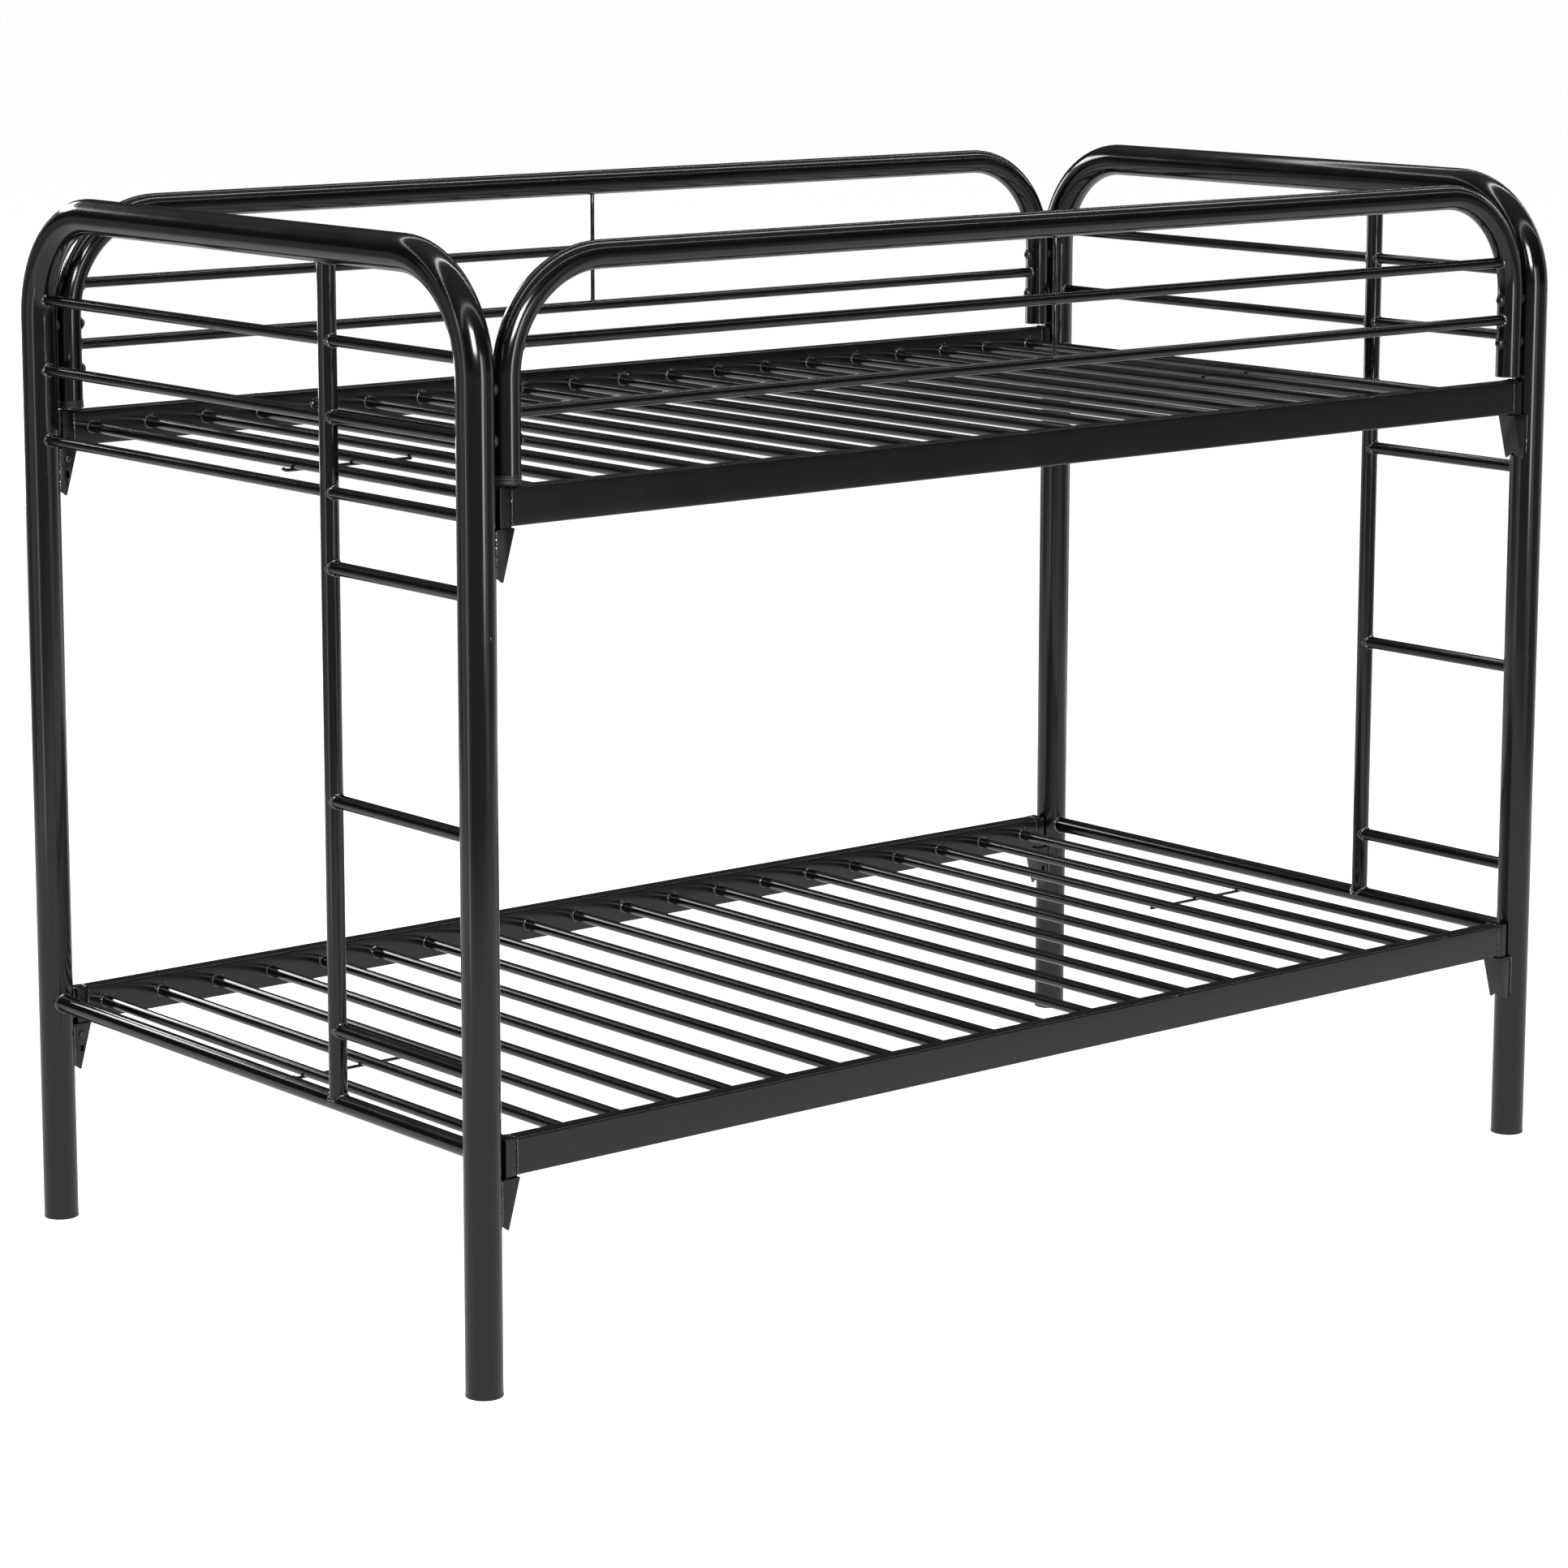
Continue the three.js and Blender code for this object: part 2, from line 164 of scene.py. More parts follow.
class Shading:
    """A node tree, with the few steps that every finish is made of."""

    def __init__(self, owner: bpy.types.Material | bpy.types.World) -> None:
        """Empties the owner's node tree.

        Args:
            owner: The material or the world that gets the nodes.
        """
        owner.use_nodes = True
        self.tree = owner.node_tree
        self.tree.nodes.clear()
        self.coordinates = add_node(self.tree, "ShaderNodeTexCoord").outputs

    def noise(
        self, size_mm: float, detail: float, roughness: float = 0.5
    ) -> bpy.types.NodeSocket:
        """Adds cloudy noise whose features are about a size apart."""
        settings = {"Scale": 1 / (size_mm * MM), "Detail": detail, "Roughness": roughness}
        links = {"Vector": self.coordinates["Object"]}
        return add_node(self.tree, "ShaderNodeTexNoise", settings, links).outputs["Fac"]

    def cells(self, size_mm: float, feature: str) -> bpy.types.NodeSocket:
        """Adds the distance from the middles of scattered cells."""
        settings = {"Scale": 1 / (size_mm * MM), "feature": feature}
        links = {"Vector": self.coordinates["Object"]}
        return add_node(
            self.tree, "ShaderNodeTexVoronoi", settings, links
        ).outputs["Distance"]

    def ramp(
        self,
        value: bpy.types.NodeSocket,
        start: tuple[float, float],
        end: tuple[float, float],
    ) -> bpy.types.NodeSocket:
        """Maps a value from one range to another."""
        names = ("From Min", "From Max", "To Min", "To Max")
        settings = dict(zip(names, start + end))
        return add_node(
            self.tree, "ShaderNodeMapRange", settings, {"Value": value}
        ).outputs["Result"]

    def blend(
        self,
        share: bpy.types.NodeSocket,
        low: str | bpy.types.NodeSocket,
        high: str,
    ) -> bpy.types.NodeSocket:
        """Mixes two colours.

        Args:
            share: How much of the second colour shows.
            low: The first colour, as hex digits or a socket.
            high: The second colour, as hex digits.

        Returns:
            The mixed colour.
        """
        mix = add_node(self.tree, "ShaderNodeMix", {"data_type": "RGBA"})
        factor, first, second = (mix.inputs[i] for i in (0, 6, 7))
        self.tree.links.new(share, factor)
        if isinstance(low, str):
            first.default_value = linear(low)
        else:
            self.tree.links.new(low, first)
        second.default_value = linear(high)
        return mix.outputs[2]

    def bump(
        self,
        height: bpy.types.NodeSocket,
        depth_mm: float,
        strength: float = 1.0,
        normal: bpy.types.NodeSocket | None = None,
    ) -> bpy.types.NodeSocket:
        """Tilts the surface by a height, on top of another tilt if there is one."""
        links = {"Height": height} | ({"Normal": normal} if normal else {})
        settings = {"Strength": strength, "Distance": depth_mm * MM}
        return add_node(self.tree, "ShaderNodeBump", settings, links).outputs["Normal"]

    def principled(
        self, settings: dict[str, object], links: dict[str, bpy.types.NodeSocket]
    ) -> None:
        """Adds the surface shader and the material's output."""
        shader = add_node(self.tree, "ShaderNodeBsdfPrincipled", settings, links)
        surface = {"Surface": shader.outputs["BSDF"]}
        add_node(self.tree, "ShaderNodeOutputMaterial", None, surface)


@dataclass(frozen=True)
class PowderCoat:
    """Black polyester powder coat, baked on steel: glossy, with faint orange peel.

    The flow waves bend long highlights along a tube, and the finer peel breaks their edges.
    """

    name: str
    colour: str = "#030304"
    haze: str = "#070708"
    dust: str = "#2a2a2c"
    roughness: float = 0.13
    peel_mm: float = 7.0  # real peel is 1 to 3 mm; drawn coarser so that it shows
    peel_depth_mm: float = 0.004
    wave_mm: float = 55.0
    wave_depth_mm: float = 0.1
    speck_mm: float = 22.0

    def build(self) -> bpy.types.Material:
        """Makes the material."""
        material = bpy.data.materials.new(self.name)
        shading = Shading(material)
        cloud = shading.noise(3 * self.wave_mm, 4.0, 0.6)
        specks = shading.ramp(shading.cells(self.speck_mm, "F1"), (0.05, 0.02), (0.0, 1.0))
        tone = shading.blend(cloud, self.colour, self.haze)
        smooth, rough = self.roughness - 0.03, self.roughness + 0.04
        waves = shading.bump(shading.noise(self.wave_mm, 1.0, 0.4), self.wave_depth_mm)
        peel = shading.noise(self.peel_mm, 2.0)
        shading.principled(
            {"IOR": 1.5, "Metallic": 0.0},
            {
                "Base Color": shading.blend(specks, tone, self.dust),
                "Roughness": shading.ramp(cloud, (0.3, 0.7), (smooth, rough)),
                "Normal": shading.bump(peel, self.peel_depth_mm, normal=waves),
            },
        )
        return material


@dataclass(frozen=True)
class CoatedWeld:
    """Wire-welded beads under the powder coat: lumpy, so they glint in small points."""

    name: str = "powder_coated_weld_bead"
    colour: str = "#060607"
    haze: str = "#101011"
    roughness: float = 0.05
    refraction: float = 1.9  # above the coat's own, so that the small points glint
    lump_mm: float = 3.2
    lump_depth_mm: float = 1.1

    def build(self) -> bpy.types.Material:
        """Makes the material."""
        material = bpy.data.materials.new(self.name)
        shading = Shading(material)
        lumps = shading.cells(self.lump_mm, "SMOOTH_F1")
        grit = shading.noise(self.lump_mm, 3.0)
        shading.principled(
            {"IOR": self.refraction, "Metallic": 0.0, "Roughness": self.roughness},
            {
                "Base Color": shading.blend(grit, self.colour, self.haze),
                "Normal": shading.bump(lumps, self.lump_depth_mm),
            },
        )
        return material


@dataclass(frozen=True)
class BlackOxideSteel:
    """Cold-headed steel screws with a black oxide: satin metal, fine turning marks."""

    name: str = "black_oxide_steel"
    colour: str = "#55565a"
    roughness: float = 0.2
    mark_mm: float = 0.9
    mark_depth_mm: float = 0.03

    def build(self) -> bpy.types.Material:
        """Makes the material."""
        material = bpy.data.materials.new(self.name)
        shading = Shading(material)
        marks = shading.noise(self.mark_mm, 3.0)
        smooth, rough = self.roughness - 0.08, self.roughness + 0.12
        shading.principled(
            {"Base Color": linear(self.colour), "Metallic": 1.0},
            {
                "Roughness": shading.ramp(marks, (0.0, 1.0), (smooth, rough)),
                "Normal": shading.bump(marks, self.mark_depth_mm, 0.6),
            },
        )
        return material


@dataclass(frozen=True)
class Polyethylene:
    """Injection-moulded black polyethylene: matt, from a spark-eroded mould."""

    name: str = "moulded_black_polyethylene"
    colour: str = "#131314"
    roughness: float = 0.5
    refraction: float = 1.51
    grain_mm: float = 1.2
    grain_depth_mm: float = 0.06

    def build(self) -> bpy.types.Material:
        """Makes the material."""
        material = bpy.data.materials.new(self.name)
        shading = Shading(material)
        grain = shading.noise(self.grain_mm, 2.0)
        shading.principled(
            {
                "Base Color": linear(self.colour),
                "Roughness": self.roughness,
                "IOR": self.refraction,
            },
            {"Normal": shading.bump(grain, self.grain_depth_mm, 0.8)},
        )
        return material


@dataclass
class Finishes:
    """The bed's finishes, made once."""

    tube: bpy.types.Material
    deck: bpy.types.Material
    plate: bpy.types.Material
    weld: bpy.types.Material
    screw: bpy.types.Material
    plastic: bpy.types.Material

    @classmethod
    def make(cls) -> Finishes:
        """Makes every finish."""
        return cls(
            tube=PowderCoat("gloss_black_powder_coat_tube").build(),
            deck=PowderCoat(
                "gloss_black_powder_coat_deck", haze="#0a0a0b", roughness=0.16
            ).build(),
            plate=PowderCoat(
                "gloss_black_powder_coat_plate", roughness=0.18, wave_mm=30.0
            ).build(),
            weld=CoatedWeld().build(),
            screw=BlackOxideSteel().build(),
            plastic=Polyethylene().build(),
        )


# ---------------------------------------------------------------- modelling steps


def deselect_all() -> None:
    """Deselects every object."""
    for thing in list(bpy.context.selected_objects):
        thing.select_set(False)


def open_piece(name: str) -> bpy.types.Object:
    """Names the primitive just added, applies its place and opens it in edit mode.

    Args:
        name: The piece's name.

    Returns:
        The piece.
    """
    piece = bpy.context.active_object
    piece.name = piece.data.name = name
    bpy.ops.object.transform_apply(location=True, rotation=True, scale=True)
    bpy.ops.object.mode_set(mode="EDIT")
    bpy.context.tool_settings.mesh_select_mode = (False, False, True)
    return piece


def close_piece(
    piece: bpy.types.Object, smooth: float = 35.0, recalculate: bool = True
) -> bpy.types.Object:
    """Merges doubles, points the faces outwards, leaves edit mode and smooths.

    Args:
        piece: The piece in edit mode.
        smooth: Edges sharper than this many degrees stay sharp.
        recalculate: False for an open sheet, whose faces already point the right way.

    Returns:
        The piece.
    """
    bpy.ops.mesh.select_all(action="SELECT")
    bpy.ops.mesh.remove_doubles(threshold=MERGE_MM * MM)
    if recalculate:
        bpy.ops.mesh.normals_make_consistent(inside=False)
    bpy.ops.object.mode_set(mode="OBJECT")
    bpy.ops.object.shade_smooth_by_angle(angle=math.radians(smooth))
    return piece


def pick_faces(
    piece: bpy.types.Object, test: Callable[[Vector, Vector], bool]
) -> None:
    """Selects the faces whose centre and normal pass a test.

    Args:
        piece: The piece in edit mode.
        test: Takes a face's centre and normal.
    """
    bpy.context.tool_settings.mesh_select_mode = (False, False, True)
    mesh = bmesh.from_edit_mesh(piece.data)
    mesh.normal_update()
    for face in mesh.faces:
        face.select_set(False)
    for face in mesh.faces:
        if test(face.calc_center_median(), face.normal):
            face.select_set(True)
    mesh.select_flush_mode()
    bmesh.update_edit_mesh(piece.data)


def pick_edges(
    piece: bpy.types.Object, test: Callable[[Vector, Vector], bool]
) -> None:
    """Selects the edges whose two ends pass a test.

    Args:
        piece: The piece in edit mode.
        test: Takes the two ends of an edge.
    """
    bpy.context.tool_settings.mesh_select_mode = (False, True, False)
    mesh = bmesh.from_edit_mesh(piece.data)
    for face in mesh.faces:
        face.select_set(False)
    for edge in mesh.edges:
        edge.select_set(test(edge.verts[0].co, edge.verts[1].co))
    mesh.select_flush_mode()
    bmesh.update_edit_mesh(piece.data)


def extrude(shift: Vector) -> None:
    """Extrudes the selected faces by a shift in metres."""
    bpy.ops.mesh.extrude_region_move(TRANSFORM_OT_translate={"value": tuple(shift)})


def add_block(
    name: str, centre: tuple[float, float, float], size: tuple[float, float, float]
) -> bpy.types.Object:
    """Adds a box and opens it in edit mode.

    Args:
        name: The piece's name.
        centre: The middle of the box, in metres.
        size: Its three sides, in metres.

    Returns:
        The piece.
    """
    deselect_all()
    bpy.ops.mesh.primitive_cube_add(size=1, location=centre, scale=size)
    return open_piece(name)


def add_disc(
    name: str, radius: float, low: float, high: float, sides: int = 40
) -> bpy.types.Object:
    """Adds a cylinder that stands on the Z axis and opens it in edit mode.

    Args:
        name: The piece's name.
        radius: Its radius in metres.
        low: Height of its bottom, in metres.
        high: Height of its top.
        sides: How many flats stand for the round.

    Returns:
        The piece.
    """
    deselect_all()
    bpy.ops.mesh.primitive_cylinder_add(
        vertices=sides,
        radius=radius,
        depth=high - low,
        location=(0, 0, (low + high) / 2),
    )
    return open_piece(name)


def add_bar(
    name: str, start: Vector, end: Vector, radius: float, sides: int
) -> bpy.types.Object:
    """Adds a cylinder between two points and opens it in edit mode.

    Args:
        name: The piece's name.
        start: One end of the axis, in metres.
        end: The other end.
        radius: Its radius in metres.
        sides: How many flats stand for the round.

    Returns:
        The piece.
    """
    axis = end - start
    deselect_all()
    bpy.ops.mesh.primitive_cylinder_add(
        vertices=sides,
        radius=radius,
        depth=axis.length,
        location=(start + end) / 2,
        rotation=axis.normalized().to_track_quat("Z", "Y").to_euler(),
    )
    return open_piece(name)


def round_edges(
    piece: bpy.types.Object,
    test: Callable[[Vector, Vector], bool],
    offset: float,
    segments: int,
) -> None:
    """Bevels the edges whose two ends pass a test.

    Args:
        piece: The piece in edit mode.
        test: Takes the two ends of an edge.
        offset: Width of the bevel in metres.
        segments: How many strips it has.
    """
    pick_edges(piece, test)
    bpy.ops.mesh.bevel(offset=offset, segments=segments, affect="EDGES")


def is_level(a: Vector, b: Vector) -> bool:
    """Says whether an edge lies level."""
    return abs(a.z - b.z) < MERGE_MM * MM


def step_face(
    piece: bpy.types.Object, outwards: Vector, rim: float, shift: Vector
) -> None:
    """Insets the flat faces that face one way and extrudes what is inside the rim.

    Args:
        piece: The piece in edit mode.
        outwards: The way the faces face.
        rim: Width of the rim that stays, in metres.
        shift: Where the inner part goes, in metres.
    """
    pick_faces(piece, lambda _, normal: normal.dot(outwards) > FACING)
    bpy.ops.mesh.inset(thickness=rim, depth=0.0)
    extrude(shift)


def hollow_mouth(
    piece: bpy.types.Object, outwards: Vector, wall: float, depth: float
) -> None:
    """Opens the flat end of a closed tube.

    Args:
        piece: The piece in edit mode.
        outwards: The way the end faces.
        wall: Wall thickness in metres.
        depth: How deep the bore is drawn, in metres.
    """
    step_face(piece, outwards, wall, -outwards * depth)


def cut_off(point: Vector, towards: Vector) -> None:
    """Cuts the open piece by a plane, fills the cut and drops what lies beyond it.

    Args:
        point: A point of the plane, in metres.
        towards: The plane's normal, towards the part that goes.
    """
    bpy.ops.mesh.select_all(action="SELECT")
    bpy.ops.mesh.bisect(
        plane_co=tuple(point), plane_no=tuple(towards), use_fill=True, clear_outer=True
    )


def apply_modifier(
    piece: bpy.types.Object, kind: str, settings: dict[str, object]
) -> None:
    """Adds a modifier to the active piece and applies it.

    Args:
        piece: The piece in object mode.
        kind: The modifier's type.
        settings: Its settings by name.
    """
    deselect_all()
    piece.select_set(True)
    bpy.context.view_layer.objects.active = piece
    modifier = piece.modifiers.new(kind.lower(), kind)
    for name, value in settings.items():
        setattr(modifier, name, value)
    bpy.ops.object.modifier_apply(modifier=modifier.name)


def thicken(piece: bpy.types.Object, plate_mm: float) -> None:
    """Gives a folded sheet the thickness of its plate, inwards."""
    settings = {"thickness": plate_mm * MM, "offset": -1.0, "use_even_offset": True}
    apply_modifier(piece, "SOLIDIFY", settings)


def soften(piece: bpy.types.Object, width_mm: float) -> None:
    """Rounds a plate's sharp edges."""
    settings = {"width": width_mm * MM, "segments": 3, "limit_method": "ANGLE"}
    apply_modifier(piece, "BEVEL", settings)


def punch_out(piece: bpy.types.Object, punch: bpy.types.Object) -> None:
    """Cuts a closed shape, still in edit mode, out of a piece and removes it."""
    close_piece(punch)
    apply_modifier(piece, "BOOLEAN", {"operation": "DIFFERENCE", "object": punch})
    discard(punch)


def straight_tube(
    name: str, start: Vector, end: Vector, radius: float, wall: float, sides: int = 40
) -> bpy.types.Object:
    """Makes a cut length of round tube or bar.

    Args:
        name: The piece's name.
        start: One end of the axis, in metres.
        end: The other end.
        radius: Outer radius in metres.
        wall: Wall thickness in metres, or 0 for a solid bar.
        sides: How many flats stand for the round.

    Returns:
        The piece.
    """
    direction = (end - start).normalized()
    piece = add_bar(name, start, end, radius, sides)
    if wall:
        hollow_mouth(piece, direction, wall, TUBE_MOUTH_MM * MM)
        hollow_mouth(piece, -direction, wall, TUBE_MOUTH_MM * MM)
    else:
        pick_faces(piece, lambda _, normal: abs(normal.dot(direction)) > FACING)
        bpy.ops.mesh.bevel(offset=0.12 * radius, segments=2, affect="EDGES")
    return close_piece(piece)


@dataclass
class Hoop:
    """One length of tube bent to an inverted U.

    The fields are in metres.
    """

    name: str
    middle: Vector  # on the floor under the middle of the U
    across: Vector
    half_width: float
    foot_z: float
    top_z: float
    bend: float
    radius: float
    wall: float
    sides: int = 64
    steps: int = 20
    mouth_mm: float = 30.0

    def axis_at(self, height: float) -> tuple[float, float]:
        """Finds a leg's axis at a height.

        Args:
            height: Height in metres.

        Returns:
            How far the axis stands in from the straight leg, and its lean in radians.
        """
        above = height - (self.top_z - self.bend)
        if above <= 0:
            return 0.0, 0.0
        return self.bend - math.sqrt(self.bend**2 - above**2), math.asin(
            above / self.bend
        )

    def build(self) -> bpy.types.Object:
        """Extrudes and spins a disc from one foot over to the other."""
        start = self.middle - self.across * self.half_width + UP * self.foot_z
        deselect_all()
        bpy.ops.mesh.primitive_circle_add(
            vertices=self.sides, radius=self.radius, fill_type="NGON", location=start
        )
        piece = open_piece(self.name)
        bpy.ops.mesh.select_all(action="SELECT")
        rise = self.top_z - self.bend - self.foot_z
        axis = self.across.cross(UP)  # spin turns left-handed
        extrude(UP * rise)
        self._spin(-1, axis)
        extrude(self.across * 2 * (self.half_width - self.bend))
        self._spin(1, axis)
        extrude(-UP * rise)
        bpy.ops.mesh.select_all(action="SELECT")
        bpy.ops.mesh.remove_doubles(threshold=MERGE_MM * MM)
        bpy.ops.mesh.normals_make_consistent(inside=False)
        hollow_mouth(piece, -UP, self.wall, self.mouth_mm * MM)
        return close_piece(piece)

    def _spin(self, side: int, axis: Vector) -> None:
        """Bends the tube a quarter turn over one shoulder of the hoop."""
        centre = self.middle + self.across * side * (self.half_width - self.bend)
        centre = centre + UP * (self.top_z - self.bend)
        bpy.ops.mesh.spin(
            steps=self.steps,
            angle=math.pi / 2,
            center=tuple(centre),
            axis=tuple(axis),
        )


def seat(point: Vector, outwards: Vector, host_axis: Vector) -> Matrix:
    """Builds the matrix that seats a weld ring on a host tube or plate.

    Args:
        point: Where the welded tube's axis meets the host's surface, in metres.
        outwards: Away from the host, along the welded tube.
        host_axis: Along the host.

    Returns:
        A matrix from the ring's own frame, whose Z is outwards and X along the host.
    """
    z = outwards.normalized()
    y = z.cross(host_axis).normalized()
    x = y.cross(z)
    turn = Matrix((x, y, z)).transposed().to_4x4()
    return Matrix.Translation(point) @ turn


def weld_ring(
    radius: float, host_radius: float, bead: float, seed: int, segments: int = 36
) -> bpy.types.Object:
    """Makes the fillet bead round a tube that butts on a host.

    Args:
        radius: Radius of the welded tube in metres.
        host_radius: Radius of the host in metres, or 0 for a flat plate.
        bead: Width of the bead in metres.
        seed: Seed of the bead's unevenness.
        segments: Segments round the ring.

    Returns:
        A master ring at the origin, its axis along +Z.
    """
    middle = radius + 0.18 * bead
    deselect_all()
    bpy.ops.mesh.primitive_torus_add(
        major_radius=middle,
        minor_radius=0.5 * bead,
        major_segments=segments,
        minor_segments=8,
    )
    piece = open_piece(f"weld_ring_{seed}")
    mesh = bmesh.from_edit_mesh(piece.data)
    draw = random.Random(seed)
    swell = [draw.uniform(0.68, 1.3) for _ in range(segments)]
    for vert in mesh.verts:
        turn = math.atan2(vert.co.y, vert.co.x) % (2 * math.pi)
        lump = swell[round(turn / (2 * math.pi) * segments) % segments]
        ring = Vector((math.cos(turn), math.sin(turn), 0)) * middle
        vert.co = ring + (vert.co - ring) * lump
        if host_radius:
            inside = host_radius**2 - min(abs(vert.co.y), 0.995 * host_radius) ** 2
            vert.co.z += math.sqrt(inside) - host_radius
    bmesh.update_edit_mesh(piece.data)
    return close_piece(piece, smooth=60.0)


def weld_seam(
    name: str, start: Vector, end: Vector, bead: float, seed: int
) -> bpy.types.Object:
    """Makes a straight run of weld, its ripples about a bead's width apart.

    Args:
        name: The piece's name.
        start: Where the run starts, in metres.
        end: Where it stops.
        bead: Width of the bead in metres.
        seed: Seed of its unevenness.

    Returns:
        The bead.
    """
    axis = end - start
    direction = axis.normalized()
    piece = add_bar(name, start, end, bead / 2, 8)
    pick_edges(piece, lambda a, b: abs((a - b).normalized().dot(direction)) > 0.99)
    cuts = max(4, int(axis.length / (0.6 * bead)))
    bpy.ops.mesh.subdivide(number_cuts=cuts)
    mesh = bmesh.from_edit_mesh(piece.data)
    draw = random.Random(seed)
    swell = [draw.uniform(0.72, 1.2) for _ in range(cuts + 2)]
    swell[0] = swell[-1] = 0.45  # the run tapers off at both ends
    for vert in mesh.verts:
        run = (vert.co - start).dot(direction)
        foot = start + direction * run
        ring = round(run / axis.length * (cuts + 1))
        vert.co = foot + (vert.co - foot) * swell[ring]
    bmesh.update_edit_mesh(piece.data)
    return close_piece(piece, smooth=60.0)


def weld_drop(
    name: str, radius: float, place: Vector, stretch: tuple[float, float, float]
) -> bpy.types.Object:
    """Makes one drop of weld metal or paint.

    Args:
        name: The piece's name.
        radius: Its radius in metres, before it is stretched.
        place: Its middle, in metres.
        stretch: How much longer it gets along X, Y and Z.

    Returns:
        The drop.
    """
    deselect_all()
    bpy.ops.mesh.primitive_ico_sphere_add(subdivisions=2, radius=radius, location=place)
    drop = open_piece(name)
    bpy.ops.mesh.select_all(action="SELECT")
    bpy.ops.transform.resize(value=stretch)
    return close_piece(drop, smooth=60.0)


def copy_of(
    master: bpy.types.Object, name: str, matrix: Matrix
) -> bpy.types.Object:
    """Copies a master with its own mesh, placed in that mesh.

    Args:
        master: The piece to copy.
        name: The copy's name.
        matrix: Where the copy goes.

    Returns:
        The copy.
    """
    piece = master.copy()
    piece.data = master.data.copy()
    piece.name = piece.data.name = name
    piece.data.transform(matrix)
    if matrix.determinant() < 0:
        piece.data.flip_normals()
    bpy.context.scene.collection.objects.link(piece)
    return piece


def join_pieces(name: str, pieces: Iterable[bpy.types.Object]) -> bpy.types.Object:
    """Joins pieces into one object.

    Args:
        name: The joined piece's name.
        pieces: The pieces to join.

    Returns:
        The joined piece.
    """
    members = list(pieces)
    deselect_all()
    for member in members:
        member.select_set(True)
    bpy.context.view_layer.objects.active = members[0]
    bpy.ops.object.join()
    members[0].name = members[0].data.name = name
    return members[0]


def discard(*masters: bpy.types.Object) -> None:
    """Removes masters once their copies are made."""
    for master in masters:
        bpy.data.objects.remove(master)


def dress(
    piece: bpy.types.Object,
    material: bpy.types.Material,
    nodes: Iterable[str] = (),
) -> bpy.types.Object:
    """Gives a piece its finish, hangs it on the root body and hides the CAD nodes that it
    stands for.

    Args:
        piece: The piece.
        material: Its finish.
        nodes: The CAD nodes that it replaces.

    Returns:
        The piece.
    """
    piece.data.materials.clear()
    piece.data.materials.append(material)
    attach(piece, "root")
    if nodes:
        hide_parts(*nodes)
    LOG.info("%s: %d faces", piece.name, len(piece.data.polygons))
    return piece


def centre_of(node: str) -> Vector:
    """Finds the centre of a CAD node's box."""
    low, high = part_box(node)
    return (low + high) / 2


def span_of(node: str) -> Vector:
    """Finds the size of a CAD node's box."""
    low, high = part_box(node)
    return high - low


def corner_frame(end: End, side: Side, post: Vector, height: float) -> Matrix:
    """Builds the matrix that mirrors a part made beside one post onto another.

    Args:
        end: Which end of the bed.
        side: Which side of the bed.
        post: The rear right post's axis, in metres.
        height: Height of the part's origin, in metres.

    Returns:
        The matrix.
    """
    place = Matrix.Translation((end.value * post.x, side.value * post.y, height))
    return place @ Matrix.Diagonal((-end.value, -side.value, 1, 1))


# ---------------------------------------------------------------- end frames


